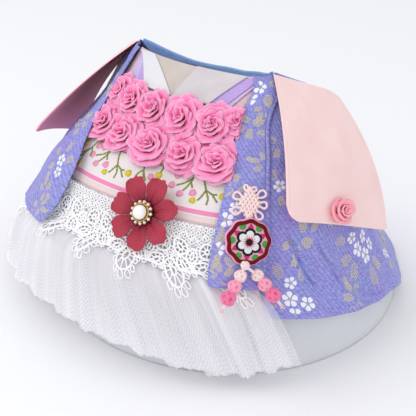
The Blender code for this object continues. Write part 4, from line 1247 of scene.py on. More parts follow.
points, faces, inks = [], [], []
count = 0
for kind, x0, turned in TWIG_PLACES:
    strokes, dots = TWIGS[kind]
    for stroke in strokes:
        steps = np.linspace(0, 1, STROKE_POINTS)
        keys = np.linspace(0, 1, len(stroke))
        xs = np.interp(steps, keys, [x0 + turned * p[0] for p in stroke])
        ys = np.interp(steps, keys, [p[1] for p in stroke])
        heading = stack(np.gradient(xs), np.gradient(ys))
        heading /= np.linalg.norm(heading, axis=-1, keepdims=True)
        half_width = 0.52 + 0.12 * np.sin(steps * 23 + x0)
        side = stack(-heading[:, 1], heading[:, 0]) * half_width[:, None]
        line = stack(xs, ys)
        points.append(on_band(np.concatenate([line + side, line - side])))
        n = STROKE_POINTS
        faces += [(count + k, count + k + 1, count + n + k + 1, count + n + k) for k in range(n - 1)]
        inks += [0] * (n - 1)
        count += 2 * n
    for x, y, radius, ink in dots:
        around = 2 * math.pi * np.arange(DOT_SIDES) / DOT_SIDES
        uneven = radius * (1 + 0.07 * np.sin(3 * around + x0) + 0.05 * np.cos(5 * around))
        ring = stack(x0 + turned * x + uneven * np.cos(around), y + uneven * np.sin(around))
        points.append(on_band(np.concatenate([ring, [[x0 + turned * x, y]]])))
        faces += [(count + DOT_SIDES, count + (k + 1) % DOT_SIDES, count + k) for k in range(DOT_SIDES)]
        inks += [ink] * DOT_SIDES
        count += DOT_SIDES + 1
twigs = mesh_object("printed_twigs", np.concatenate(points), faces, (olive_ink, pink_ink, yellow_ink))
twigs.data.polygons.foreach_set("material_index", np.array(inks, np.int32))
ink_film = twigs.modifiers.new("ink", "SOLIDIFY")
ink_film.thickness = INK_FILM * MM
ink_film.offset = 0

# Warp-knitted edging: small holes, and a pink line every 3.5 mm
edging_mesh, tree, shader, flat_place = cloth_material("pink_beige_mesh_edging")
holes = add(tree, "TexVoronoi", {"Vector": flat_place, "Scale": 0.9, "Randomness": 0.1})
down_band = add(tree, "SeparateXYZ", {"Vector": flat_place}).outputs["Y"]
lines = add(tree, "Math", {0: down_band, 1: 1.75}, operation="PINGPONG")
on_line = add(tree, "Math", {0: lines, 1: 0.32}, operation="LESS_THAN")
knit = {"Factor": holes, "A": "#e3cdc7", "B": "#fdf3ef"}
lined = {"Factor": on_line, "A": add(tree, "Mix", knit, data_type="RGBA"), "B": "#e8b2c0"}
lined_tone = add(tree, "Mix", lined, data_type="RGBA")
dress(shader, {"Base Color": lined_tone, "Roughness": 0.9}, relief=(holes, 0.7, 0.0005))
edging = cloth_wall("waist_edging_mesh", edging_at, (130, 4.6), (60, 4), CLOTH, 0.3, edging_mesh)
for piece, node, slot in (
    (print_band, "print_band", "printed_felt"),
    (edging, "waist_edging", "pink_edging"),
):
    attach(piece, "root")
    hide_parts(node)
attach(twigs, "root")

# The underskirt
# One plain layer of pale pink cotton between the cape's two front edges. It gives the tulle its blush.
UNDERSKIRT_BOTTOM = 4.72


def underskirt_at(s, t):
    return across_front(s, t, PRINT_BOTTOM + 0.015, UNDERSKIRT_BOTTOM, LAPEL_SEAM, -1.6)


underskirt_cotton = plain_weave("underskirt_cotton", "#dcaec4", "#f0cedd", 0.5, 0.85, 0.1)
underskirt = cloth_wall("underskirt_cotton", underskirt_at, (170, 55), (70, 30), THIN, 0.6, underskirt_cotton)
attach(underskirt, "root")
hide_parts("underskirt")

# The tulle skirt
# Three plies of fine white net gathered at the waist: one over the other two. The gathers open into
# soft uneven folds, and the raw hem frays a little.

# The skirt's levels. Columns: station, half angle, how far out, how much further at the far side
SKIRT = {
    "waist": (3.14, 37.5, 1.35, 0),
    "basque": (3.6, 38.5, 2.0, 0.3),
    "hip": (4.05, 40.5, 3.4, 1.0),
    "cape_hem": (4.6, 48.5, 6.0, 7),
}
# Columns: place across from -1 to 1, then the hem's angle, radius and height there
TULLE_HEM = (
    (-1.0, -57, 177, 26),
    (-0.8, -44, 171, 16),
    (-0.6, -31, 164, 21),
    (-0.4, -18, 158, 24),
    (-0.15, -4, 156, 23.5),
    (0.1, 11, 155, 22),
    (0.35, 24, 155, 15.5),
    (0.6, 36, 156, 13),
    (0.8, 43.5, 157, 14.5),
    (1.0, 52.7, 157, 16.5),
)
PLEATS, PLEAT_COLUMNS, PLEAT_DEPTH = 12, 48, 2.4
TULLE_WALL, TULLE_GAP = 0.9, 0.85
LACE_OUT = 2 * (TULLE_WALL + TULLE_GAP) + 0.3
LACE_REACH = 0.74


def hem_column(column, across):
    """One column of the hem's table, smoothly between its rows."""
    columns = np.array(TULLE_HEM).T
    keys = columns[0]
    i = np.clip(np.searchsorted(keys, across, side="right") - 1, 0, len(keys) - 2)
    t = (across - keys[i]) / (keys[i + 1] - keys[i])
    return spline(columns[column], i + t)


def skirt_surface(across, down):
    """The skirt without its folds: across from -1 to 1, down from 0 to 1."""
    across, down = spread(across, down)
    flare_side = smoothstep((-across - 0.2) / 0.8)
    levels = []
    for station, half, lift, flare in SKIRT.values():
        levels.append(lie(half * across, station, lift + flare * flare_side))
    azimuth, radius, height = (hem_column(column, across) for column in (1, 2, 3))
    azimuth = np.radians(azimuth)
    levels.append(stack(radius * np.sin(azimuth), -radius * np.cos(azimuth), height))
    levels = np.stack(levels)
    last = len(levels) - 1
    at = down * last
    i = np.clip(np.floor(at).astype(int), 0, last - 1)
    t = (at - i)[..., None]

    def level(k):
        return np.take_along_axis(levels, np.clip(k, 0, last)[None, ..., None], axis=0)[0]

    b, c = level(i), level(i + 1)
    a = np.where((i > 0)[..., None], level(i - 1), 2 * b - c)
    d = np.where((i + 2 <= last)[..., None], level(i + 2), 2 * c - b)
    return between(a, b, c, d, t)


def pleat(across, down):
    """The main folds: none at the waist, deepest at the hem."""
    turn = 2 * math.pi * PLEATS * (across / 2 + 0.012 * np.sin(7 * across))
    uneven = 0.8 + 0.3 * np.sin(5.3 * across + 1) * np.cos(2.1 * across)
    side = smoothstep((1 - np.abs(across)) * 8)
    flare = 1 + 0.5 * smoothstep((-across - 0.3) / 0.5)
    return PLEAT_DEPTH * uneven * flare * smoothstep((down - 0.25) / 0.75) * side * np.cos(turn)


def skirt(across, down, out):
    """The skirt with its folds, so far out."""
    normal = out_of(skirt_surface, across, down, 0.01, 0.01)
    return skirt_surface(across, down) + normal * (out + pleat(across, down))[..., None]


TULLE_MESH = 1.2
# Nylon net with a mesh of 1.2 mm: mostly air, so it veils what lies behind it and thickens at a fold
tulle_net, tree, shader, flat_place = cloth_material("white_nylon_tulle")
one_way = add(tree, "Mapping", {"Vector": flat_place, "Rotation": (0, 0, math.radians(60))})
other_way = add(tree, "Mapping", {"Vector": flat_place, "Rotation": (0, 0, math.radians(-60))})
yarn_one = add(tree, "TexWave", {"Vector": one_way, "Scale": WAVE_BAND / TULLE_MESH})
yarn_other = add(tree, "TexWave", {"Vector": other_way, "Scale": WAVE_BAND / TULLE_MESH})
yarn = add(tree, "Math", {0: yarn_one.outputs["Fac"], 1: yarn_other.outputs["Fac"]}, operation="MAXIMUM")
veil = add(tree, "MapRange", {"Value": yarn, "From Min": 0.4, "From Max": 1.0, "To Min": 0.0, "To Max": 0.17})
along_fold = add(tree, "Mapping", {"Vector": flat_place, "Scale": (0.06, 0.006, 1.0)})
bunched = add(tree, "TexNoise", {"Vector": along_fold, "Scale": 1.0, "Detail": 2.0, "Roughness": 0.5})
thicker = {"Value": bunched, "From Min": 0.3, "From Max": 0.7, "To Min": 0.2, "To Max": 0.56}
density = add(tree, "MapRange", thicker)
cover = add(tree, "Math", {0: veil, 1: density}, operation="ADD")
dress(shader, {"Alpha": cover, "Base Color": "#fbf9fd", "Roughness": 0.6, "Sheen Weight": 0.4})
tulle_net.use_transparent_shadow = True

# Each ply: name, node or none, how far out, first and last pleat column, seed of its small folds
TULLE_PLIES = (
    ("tulle_inner_ply", None, -0.1, 1, 47, 1.7),
    ("tulle_under_ply", "tulle_under", 0.75, 1, 48, 4.1),
    ("tulle_outer_ply", "tulle_outer", TULLE_WALL + TULLE_GAP + 0.5, 0, 43, 8.3),
)
PLY_GRID, PLY_FLAT = (300, 60), (330, 95)
for name, node, out, first, last, seed in TULLE_PLIES:
    s, t = np.meshgrid(*(np.linspace(0, 1, count) for count in PLY_GRID))
    fray = 0.006 * np.sin(s * 417 + seed) * np.sin(s * 173) + 0.004 * np.sin(s * 61 + seed)
    down = t * (1 + fray * t**4)
    across = mix(first, last, s) * 2 / PLEAT_COLUMNS - 1
    across = across + 0.0035 * np.sin(9 * down + seed + 20 * across) * t
    fine = np.sin(across * 52 + 2.6 * np.sin(across * 9 + seed) + seed) * smoothstep((down - 0.05) / 0.5)
    finer = np.sin(across * 151 + 3 * np.sin(across * 13 + seed)) * smoothstep(down * 4) * (1.1 - 0.7 * down)
    deep = 0.3 + 0.75 * down * (0.35 + 0.65 * np.sin(across * 5 + seed) ** 2)
    sheet = skirt(across, down, out + deep * fine + 0.06 * finer)
    flat = stack(s * PLY_FLAT[0], t * PLY_FLAT[1]).reshape(-1, 2)
    ply = mesh_object(name, sheet.reshape(-1, 3), grid_faces(*PLY_GRID[::-1]), tulle_net, flat)
    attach(ply, "root")
    if node:
        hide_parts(node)

# The lace trim
# White guipure: heavy cord worked in drops and rosettes with a ladder of bars between two outlines,
# rings of buttonhole thread for the ground, and picots along the lower edge. Sewn on at the waist only.
LACE_SCALLOPS = 6
LACE_FIRST, LACE_PITCH = -1.028, 0.3437
LACE_ENDS = (-0.95, 0.93)
SCALLOP_WIDE, LACE_DEEP = 35.5, 50.0
LACE_LOBES = ((0.0, 0.36, 1.0), (-0.6, 0.36, 0.84), (0.62, 0.36, 0.84))
LACE_DIP = 0.66
LACE_GRID = (220, 36)

# Cord is swept along a line of points by one tree
sockets = {"Radius": "Float", "Sides": "Int", "Material": "Material"}
cord_tree, given, made = geometry_tree("cord_swept_along_a_line", sockets)
line = add(cord_tree, "MeshToCurve", {"Mesh": given.outputs["Geometry"]})
thick = {"Resolution": given.outputs["Sides"], "Radius": given.outputs["Radius"]}
outline = add(cord_tree, "CurvePrimitiveCircle", thick)
swept = add(cord_tree, "CurveToMesh", {"Curve": line, "Profile Curve": outline, "Fill Caps": True})
end_tree(given, made, add(cord_tree, "SetShadeSmooth", {"Geometry": swept}))

# Mercerised cotton cord: bright white, with the fine relief of its twist
white = {"Base Color": "#fdfdfe", "Roughness": 0.7, "Sheen Weight": 0.3}
lace_cord = grained("white_cotton_lace_cord", 1500.0, 1.0, white, relief=(0.35, 0.0003))

# The ground between the cords: single threads in an open uneven net, clear in its cells
lace_net, tree, shader, flat_place = cloth_material("white_lace_ground")
uneven_net = {"Vector": flat_place, "Scale": 0.5, "Randomness": 0.55}
cells = add(tree, "TexVoronoi", uneven_net, feature="DISTANCE_TO_EDGE")
threads = add(tree, "Math", {0: cells, 1: 0.045}, operation="LESS_THAN")
dress(shader, {"Alpha": threads, "Base Color": "#f7f7f9", "Roughness": 0.8})


def lace_foot(x):
    """How far down the edge reaches, by place across one scallop from -1 to 1."""
    foot = np.full_like(x, LACE_DIP)
    for middle, half_width, reach in LACE_LOBES:
        off = np.clip(np.abs(x - middle) / half_width, 0, 1)
        foot = np.maximum(foot, LACE_DIP + (reach - LACE_DIP) * np.sqrt(1 - off * off))
    return foot


# One scallop, charted in mm. Columns: x, y, half width, half height, lean in degrees, room
# between its two outlines, and whether picots run round it
LACE_EYES = (
    (0.0, 37.5, 1.7, 5.4, 8, 4.2, 1),
    (-10.8, 31.5, 1.5, 3.4, 58, 3.5, 1),
    (10.6, 31.0, 1.4, 3.6, -22, 3.4, 1),
    (-6.8, 17.5, 1.7, 1.7, 0, 4.0, 0),
    (7.2, 17.0, 1.5, 3.0, -48, 3.5, 0),
    (17.4, 22.5, 1.2, 2.8, 10, 2.8, 1),
)


def egg(x, y, half_width, half_height, lean, steps):
    """An egg-shaped loop, wider at its lower end."""
    turn = 2 * math.pi * np.arange(steps) / steps
    px = half_width * np.sin(turn) * (1 - 0.2 * np.cos(turn))
    py = -half_height * np.cos(turn)
    c, s = math.cos(math.radians(lean)), math.sin(math.radians(lean))
    return stack(x + px * c - py * s, y + px * s + py * c)


def clear_of_eyes(x, y, extra):
    """Whether a spot lies outside every eye of the scallop and of its neighbours."""
    for shift in (-SCALLOP_WIDE, 0, SCALLOP_WIDE):
        for ex, ey, half_width, half_height, lean, room, _ in LACE_EYES:
            c, s = math.cos(math.radians(-lean)), math.sin(math.radians(-lean))
            dx, dy = x - ex - shift, y - ey
            px, py = dx * c - dy * s, dx * s + dy * c
            if (px / (half_width + room + extra)) ** 2 + (py / (half_height + room + extra)) ** 2 < 1:
                return False
    return True


BAR_PITCH, PICOT_PITCH, PICOT_OUT = 2.6, 4.4, 1.75
GROUND_ROWS, GROUND_COLUMNS = 8, 9
# Lines of one scallop by kind of cord, each with how far it stands off the ground
outlines, bars, rings, scrolls = [], [], [], []
for x, y, half_width, half_height, lean, room, picots in LACE_EYES:
    outlines.append((egg(x, y, half_width, half_height, lean, 20), 0.45))
    outlines.append((egg(x, y, half_width + room, half_height + room, lean, 30), 0.55))
    count = round(2 * math.pi * math.sqrt((half_width**2 + half_height**2) / 2 + room * 2) / BAR_PITCH)
    near = egg(x, y, half_width, half_height, lean, count)
    far = egg(x, y, half_width + room, half_height + room, lean, count)
    bars += [(np.stack([a, b]), 0.35) for a, b in zip(near, far)]
    if picots:
        around = round(2 * math.pi * (half_height + room) / PICOT_PITCH)
        reach = room + PICOT_OUT
        for px, py in egg(x, y, half_width + reach, half_height + reach, lean, around):
            if clear_of_eyes(px, py, 0.3) and py > y - 3:
                rings.append((egg(px, py, 1.5, 1.6, 0, 9), 0.3))
for row in range(GROUND_ROWS):
    for column in range(GROUND_COLUMNS):
        x = -SCALLOP_WIDE / 2 + SCALLOP_WIDE / GROUND_COLUMNS * (column + (0.5 if row % 2 else 0))
        y = 2.2 + 3.5 * row
        foot = float(lace_foot(np.array([2 * x / SCALLOP_WIDE]))[0]) * LACE_DEEP
        if y < foot - 3 and clear_of_eyes(x, y, 1.0):
            rings.append((egg(x, y, 1.45, 1.5, 0, 8), 0.2))
bend = np.linspace(0, 1, 14)
for side in (-1, 1):
    scrolls.append((stack(side * 17.7 * bend, 8.6 + 2.6 * np.sin(bend * 9.4)), 0.5))
    scrolls.append((stack(side * (0.5 + 2.6 * np.sin(bend * 3.1)), 9 + 19 * bend), 0.5))
    scrolls.append((stack(side * (1.0 + 12.5 * bend), 27 - 3.2 * np.sin(bend * 3.1)), 0.5))


def repeated(lines):
    """The lines of one scallop laid along the whole trim, all placed in one go."""
    flat, out, counts = [], [], []
    for scallop in range(LACE_SCALLOPS):
        for line, rise in lines:
            across = LACE_FIRST + LACE_PITCH * (scallop + 0.5 + line[:, 0] / SCALLOP_WIDE)
            if across.min() < LACE_ENDS[0] or across.max() > LACE_ENDS[1]:
                continue
            flat.append(stack(across, 0.004 + line[:, 1] / LACE_DEEP * LACE_REACH))
            out.append(np.full(len(line), LACE_OUT + rise))
            counts.append(len(line))
    flat = np.concatenate(flat)
    placed = skirt(flat[:, 0], flat[:, 1], np.concatenate(out))
    return np.split(placed, np.cumsum(counts)[:-1])


lace_pieces = []
for name, lines, radius, sides, closed in (
    ("lace_outlines", outlines, 0.00074, 6, True),
    ("lace_scrolls", scrolls, 0.00046, 5, False),
    ("lace_bars", bars, 0.0005, 5, False),
    ("lace_rings", rings, 0.0005, 5, True),
):
    thick = {"Radius": radius, "Sides": sides, "Material": lace_cord}
    lace_pieces.append(grown(name, repeated(lines), cord_tree, thick, closed))
s, t = np.meshgrid(*(np.linspace(0, 1, count) for count in LACE_GRID))
across = mix(*LACE_ENDS, s)
part = (across - LACE_FIRST) / LACE_PITCH
reach = lace_foot(2 * (part - np.floor(part)) - 1) - 0.07
sheet = skirt(across, 0.004 + t * reach * LACE_REACH, np.full_like(s, LACE_OUT))
flat = stack(part * SCALLOP_WIDE, t * reach * LACE_DEEP).reshape(-1, 2)
# The ground is cut away inside every eye
quads = grid_faces(*LACE_GRID[::-1])
centres = flat[quads].mean(axis=1)
centres[:, 0] = (centres[:, 0] / SCALLOP_WIDE % 1 - 0.5) * SCALLOP_WIDE
quads = quads[[clear_of_eyes(x, y, -0.7) for x, y in centres]]
used, renumbered = np.unique(quads, return_inverse=True)
points, faces = sheet.reshape(-1, 3)[used], renumbered.reshape(-1, 4)
lace_ground = mesh_object("lace_ground", points, faces, lace_net, flat[used])
for piece in (lace_ground, *lace_pieces):
    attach(piece, "root")
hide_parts("lace_trim")

# The satin rose
# One strip of coral satin folded and rolled, sewn flat on the wearer's left flap. Its long floats give
# it a brighter shine than the flap.
SATIN_ROSE_AT = (0.47, 0.91)
coral_satin = satin("coral_satin_ribbon", "#ff6c8c", "#ffc3ce", 0.24)


def frame_on(place, a, b):
    """A flat frame on a surface: its origin, and its sideways, downward and outward directions."""
    out = out_of(place, a, b, 0.01, 0.01)
    down = place(a, b + 0.01) - place(a, b - 0.01)
    down = down / np.linalg.norm(down)
    return place(a, b), -np.cross(out, down), down, out


def in_frame(frame_here, flat, lift):
    """Points from x to the viewer's right, y up and a height, in a frame."""
    origin, side, down, out = frame_here
    flat = np.asarray(flat, float)
    height = flat[..., 2:3] if flat.shape[-1] > 2 else 0.0
    return origin + flat[..., 0:1] * side - flat[..., 1:2] * down + (height + lift) * out


rose_frame = frame_on(lambda a, b: flap(1, a, b), *SATIN_ROSE_AT)
# Columns as for the chiffon roses
RIBBON_FOLDS = (
    (2, 0.7, 2.6, 8.2, 0.70),
    (2, 2.4, 6.2, 8.8, 0.60),
    (3, 4.6, 9.6, 7.4, 0.50),
    (3, 6.6, 13.0, 4.8, 0.52),
)
roll, faces, marks = coil_rose(21, RIBBON_FOLDS, 0.84, 0.0)
roll = roll * (0.98, 0.76, 0.92)
points = in_frame(rose_frame, roll, FLAP_WALL + 0.3)
satin_rose = mesh_object("satin_rose_roll", points, faces, coral_satin, marks)
ribbon_wall = satin_rose.modifiers.new("ribbon", "SOLIDIFY")
ribbon_wall.thickness = 0.5 * MM
ribbon_wall.offset = 0
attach(satin_rose, "root")
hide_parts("satin_rose")

# The brooch
# Seven notched petals of soft rose leather, pleated at the root, under a gilt cup with thirteen set
# stones and one half pearl.
BROOCH_AT = (9.1, 3.2)
BROOCH_LIFT = 6.5
PETALS, PETAL_LENGTH, PETAL_ROOT, PETAL_WIDTH, PETAL_WALL = 7, 24.0, 3.6, 7.9, 1.0
SETTING_CLEAR, STONES, PEARL_RADIUS = 2.3, 13, 4.9

# Soft split leather: matt and slightly mottled, its colour darker in the pleats and towards the root as
# painted shade
rose_leather, tree, shader, flat_place = cloth_material("rose_leather")
across_petal = add(tree, "SeparateXYZ", {"Vector": flat_place})
hide = add(tree, "TexNoise", {"Vector": flat_place, "Scale": 1.2, "Detail": 5.0, "Roughness": 0.65})
pleats = add(tree, "Math", {0: across_petal.outputs["X"], 1: 4.4}, operation="MULTIPLY")
pleat_wave = add(tree, "Math", {0: pleats}, operation="SINE")
near_root = add(tree, "MapRange", {"Value": across_petal.outputs["Y"], "From Min": 5.0, "From Max": 17.0})
pleated = add(tree, "Math", {0: pleat_wave, 1: near_root}, operation="MULTIPLY")
root_painted_shade_and_mottle = add(tree, "Math", {0: near_root, 1: -0.35, 2: hide}, operation="MULTIPLY_ADD")
pleat_painted_shade_and_mottle = add(tree, "Math", {0: pleated, 1: 0.26, 2: root_painted_shade_and_mottle}, operation="MULTIPLY_ADD")
grain_height = add(tree, "Math", {0: pleated, 1: 1.4, 2: hide}, operation="MULTIPLY_ADD")
finish = {"Roughness": 0.6, "Specular IOR Level": 0.3}
dress(shader, finish, (pleat_painted_shade_and_mottle, "#86142a", "#d04c62"), (grain_height, 0.5, 0.0004))

brooch_frame = frame_on(lambda a, b: lie(np.asarray(a) * 30.0, b), BROOCH_AT[0] / 30, BROOCH_AT[1])
for number in range(PETALS):
    turn = math.radians(-18 + 360 * number / PETALS)
    lean = 0.8 if number % 2 else 0.0

    def place(s, t, turn=turn, lean=lean, number=number):
        reach = mix(PETAL_LENGTH, PETAL_ROOT, t)
        x = 2 * s - 1
        share = (reach - PETAL_ROOT) / (PETAL_LENGTH - PETAL_ROOT)
        wedge = 0.95 * reach * math.tan(math.pi / PETALS) - 0.2
        bulge = np.sqrt(np.clip(1.06 - (np.clip(share - 0.55, 0, None) / 0.62) ** 2, 0.1, None))
        width = np.minimum(wedge, PETAL_WIDTH * (0.94 + 0.06 * math.sin(5 * number)) * bulge)
        notch = 0.8 * np.abs(np.sin(1.5 * math.pi * (x + 1) + 0.3 * number)) - 0.35
        tip = (1 - np.abs(x)) * 1.3 - 1.8 * x * x + notch
        crinkle = 0.16 * np.sin(9 * x + number) * (1 - share) + 0.25 * np.sin(4 * share + 2 * x + number)
        fold = 0.9 * np.exp(-((x / 0.14) ** 2)) * (1.15 - share)
        curl = (2.9 * np.abs(x) ** 1.6 + 0.9 * x) * share
        cup = 1.1 + lean + 1.8 * np.sin(math.pi * share * 0.8) + curl + crinkle - fold
        along = reach + tip * share**3
        right = along * math.sin(turn) + x * width * math.cos(turn)
        up = along * math.cos(turn) - x * width * math.sin(turn)
        return in_frame(brooch_frame, stack(right, up, cup), BROOCH_LIFT)

    petal = cloth_wall(f"petal_{number + 1}", place, (15, 20), (40, 26), PETAL_WALL, 0.5, rose_leather)
    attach(petal, "root")
    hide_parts(f"brooch_petal_{number + 1}")

# Polished gilt brass: yellow, with tight highlights. The cup: dark brown metal with broader ones, its dark
# brown painted shade behind the stones
polished, cast = {"Metallic": 1.0, "Roughness": 0.24}, {"Metallic": 1.0, "Roughness": 0.35}
gilt = grained("gilt_brass", 500.0, 3.0, polished, ("#b98427", "#f0cd74"))
bronze = grained("dark_bronze", 300.0, 3.0, cast, ("#3a1c12", "#8a5a28"))

# Foiled crystal: a silvered back under glass; each stone's faint colours are painted fire, patches of colour
# in its base
crystal, tree, shader = blank_material("foiled_crystal")
where = add(tree, "TexCoord").outputs["Object"]
painted_fire_colour = add(tree, "TexVoronoi", {"Vector": where, "Scale": 900.0}).outputs["Color"]
crystal_white_and_painted_fire = add(tree, "Mix", {"Factor": 0.16, "A": "#fbfbfa", "B": painted_fire_colour}, data_type="RGBA")
dress(shader, {"Base Color": crystal_white_and_painted_fire, "Metallic": 0.35, "Roughness": 0.08, "Coat Weight": 1.0})

# Nacre: a deep soft lustre under a clear skin
lustre = {"Roughness": 0.18, "Coat Weight": 0.8, "Sheen Weight": 0.3}
nacre = grained("pearl_lustre", 220.0, 1.0, lustre, ("#f3ece6", "#fffdfb"))


def round_line(turn, reach, height):
    """Points of a ring on the flat, by turn clockwise from up, reach and height."""
    height = np.broadcast_to(np.asarray(height, float), turn.shape)
    return stack(reach * np.sin(turn), reach * np.cos(turn), height)


def turned(name, frame_here, profile, sides, material, lift, wobble=None):
    """A turned piece in a frame: profile gives radius and height from the middle outwards and back."""
    turn = 2 * math.pi * np.arange(sides) / sides
    loops = []
    for radius, height in profile:
        radius = max(radius, 0.0001)
        reach = radius * (1 if wobble is None else wobble(turn, radius))
        loops.append(round_line(turn, reach, height))
    points = in_frame(frame_here, np.concatenate(loops), lift)
    faces = [tuple(f) for f in grid_faces(len(profile), sides, wrap=True)]
    made = mesh_object(name, points, faces, material)
    weld(made)
    return made


setting_lift = BROOCH_LIFT + PETAL_WALL + SETTING_CLEAR
CUP_BASE = ((0, 0), (4, 0), (8.0, 0.1), (8.4, 0.6), (8.4, 1.3), (7.9, 1.75))
CUP_WELL = ((6.2, 1.5), (5.7, 1.9), (5.35, 3.2), (5.0, 3.4), (4.6, 2.6), (0, 2.4))
STONE_RING, STONE_HEIGHT = 7.15, 1.5
ROPE_RING, ROPE_TURNS, ROPE_SIDES = 5.75, 26, 156
PEARL_FOOT = 2.55


def claws(turn, radius):
    return 1 + (0.035 * np.cos(STONES * turn) if radius > 7.5 else 0.0)


setting = turned("bronze_cup", brooch_frame, CUP_BASE + CUP_WELL, 156, bronze, setting_lift, claws)
rope_turn = np.linspace(0, 2 * math.pi, ROPE_SIDES + 1)[:-1]
twist = ROPE_TURNS * rope_turn
rope_line = round_line(rope_turn, ROPE_RING + 0.14 * np.cos(twist), 2.3 + 0.14 * np.sin(twist))
rope = grown(
    "gilt_rope",
    [in_frame(brooch_frame, rope_line, setting_lift)],
    cord_tree,
    {"Radius": 0.0006, "Sides": 8, "Material": gilt},
    closed=True,
)
dome = []
for lean in np.linspace(0, math.pi / 2, 20):
    dome.append((PEARL_RADIUS * math.sin(lean), PEARL_FOOT + 0.4 + (PEARL_RADIUS - 0.4) * math.cos(lean)))
pearl = turned("half_pearl", brooch_frame, [*dome, (0, PEARL_FOOT)], 64, nacre, setting_lift)

# Stones are one cut crystal, set by Geometry Nodes at each point of their circle
sockets = {"Stone radius": "Float", "Outward": "Vector", "Material": "Material"}
stone_tree, given, made = geometry_tree("stones_set_in_a_ring", sockets)
spots = add(stone_tree, "MeshToPoints", {"Mesh": given.outputs["Geometry"]})
cut = {"Vertices": 8, "Side Segments": 1, "Radius Top": 0.55, "Radius Bottom": 1.0, "Depth": 0.75}
girdle = add(stone_tree, "MeshCone", cut)
facing = add(stone_tree, "FunctionNodeAlignEulerToVector", {"Vector": given.outputs["Outward"]}, axis="Z")
set_stone = add(
    stone_tree,
    "InstanceOnPoints",
    {"Points": spots, "Instance": girdle, "Rotation": facing, "Scale": given.outputs["Stone radius"]},
)
end_tree(given, made, set_stone)
turn = 2 * math.pi * np.arange(STONES) / STONES
stone_ring = in_frame(brooch_frame, round_line(turn, STONE_RING, STONE_HEIGHT), setting_lift)
stones = grown(
    "ring_of_stones",
    [stone_ring],
    stone_tree,
    {"Stone radius": 0.0013, "Outward": tuple(brooch_frame[3]), "Material": crystal},
)
for piece, node, slot in (
    (setting, "brooch_setting", "gilt_setting"),
    (rope, None, "gilt_setting"),
    (stones, None, "gilt_setting"),
    (pearl, "brooch_pearl", "pearl"),
):
    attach(piece, "root")
    if node:
        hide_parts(node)

# The hanging ornament
# A flat knot of pale pink cord, a round embroidered pendant, and a small knot from which two cords
# hang, each with three woven ball knots and a frayed end.
KNOT_AT = (0.56, 2.72 / LAPEL_BOTTOM)
PENDANT_AT = (0.60, 3.32 / LAPEL_BOTTOM)
PENDANT_RADIUS = 14.2


def dyed_cord(name, dark, light):
    """Rayon cord: fine twisted yarn with a soft shine."""
    return grained(name, 1300.0, 2.0, {"Roughness": 0.5, "Sheen Weight": 0.3}, (dark, light), (0.5, 0.0003))


pale_cord = dyed_cord("pale_pink_cord", "#efc6c8", "#fff0ed")
mid_cord = dyed_cord("mid_pink_cord", "#f07fa8", "#ffbdd2")
deep_cord = dyed_cord("deep_pink_cord", "#e54584", "#fb8fb6")
# The cores of the ball knots: darker cord colours, painted shade in the gaps of the weave
pale_painted_shade = dyed_cord("pale_cord_inside", "#e2a9ae", "#f2c8c9")
mid_painted_shade = dyed_cord("mid_cord_inside", "#e2638f", "#f08db1")
deep_painted_shade = dyed_cord("deep_cord_inside", "#d03070", "#e4618f")
BALL_CORDS = (
    (pale_cord, pale_painted_shade, "pale_cord"),
    (mid_cord, mid_painted_shade, "mid_pink_cord"),
    (deep_cord, deep_painted_shade, "deep_pink_cord"),
)

# The knot's middle: two sets of five cords that cross aslant, over and under
KNOT_HALF, KNOT_PITCH = 6.2, 2.15
knot_frame = frame_on(lambda a, b: lapel(1, a, b), *KNOT_AT)
knot_lines = []
for k in range(5):
    for hand in (-1, 1):
        along = np.linspace(-1, 1, 36)
        offset = (k - 2) * KNOT_PITCH
        px = along * KNOT_HALF
        weave = 0.62 * np.cos(along * math.pi * 2.9 + (math.pi if (k + (hand > 0)) % 2 else 0))
        x, y = px * hand * 0.6 + offset * 0.6, px * 1.02 - offset * 1.02 * hand
        knot_lines.append(in_frame(knot_frame, stack(x, y, 2.4 + weave), LAPEL_WALL))
# Loops round the knot: where each starts, its turn in degrees clockwise from up, length and width
KNOT_LOOPS = (
    (-4.6, 4.6, -48, 6.2, 4.4),
    (-6.0, 0.0, -92, 5.0, 4.0),
    (-4.4, -4.8, -140, 6.0, 4.2),
    (5.0, 2.6, 68, 5.8, 4.6),
    (4.6, -4.2, 118, 6.4, 4.4),
    (2.2, 7.4, 18, 4.6, 2.4),
    (-1.6, 7.6, -14, 3.4, 2.8),
)
loop_lines = []
for x, y, turn, length, width in KNOT_LOOPS:
    around = np.linspace(0, 2 * math.pi, 26)
    px = width / 2 * np.sin(around) * (1 - 0.35 * np.cos(around))
    py = length * (0.5 - 0.5 * np.cos(around))
    c, s = math.cos(math.radians(turn)), math.sin(math.radians(turn))
    loop = stack(x + px * c + py * s, y - px * s + py * c, np.full_like(px, 2.0))
    loop_lines.append(in_frame(knot_frame, loop, LAPEL_WALL))
# Two cords run from the knot down to the pendant
for x in (-0.9, 0.9):
    loop_lines.append(in_frame(knot_frame, [(x, -6.5, 2.6), (x, -9.6, 2.8)], LAPEL_WALL))
tight = {"Radius": 0.00098, "Sides": 8, "Material": pale_cord}
knot_weave = grown("knot_weave", knot_lines, cord_tree, tight)
knot_loops = grown("knot_loops", loop_lines, cord_tree, {**tight, "Radius": 0.0008})
for piece in (knot_weave, knot_loops):
    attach(piece, "root")
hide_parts("ornament_knot")


def stitched(name, dark, light):
    """Satin stitch: fine thread laid side by side, outwards from the middle of the motif."""
    made, tree, shader, polar = cloth_material(name)
    rays = {"Vector": polar, "Scale": 3.2, "Distortion": 1.2, "Detail": 1.0}
    threads = add(tree, "TexWave", rays).outputs["Fac"]
    finish = {"Roughness": 0.5, "Specular IOR Level": 0.15}
    dress(shader, finish, (threads, dark, light), (threads, 0.5, 0.0003))
    return made


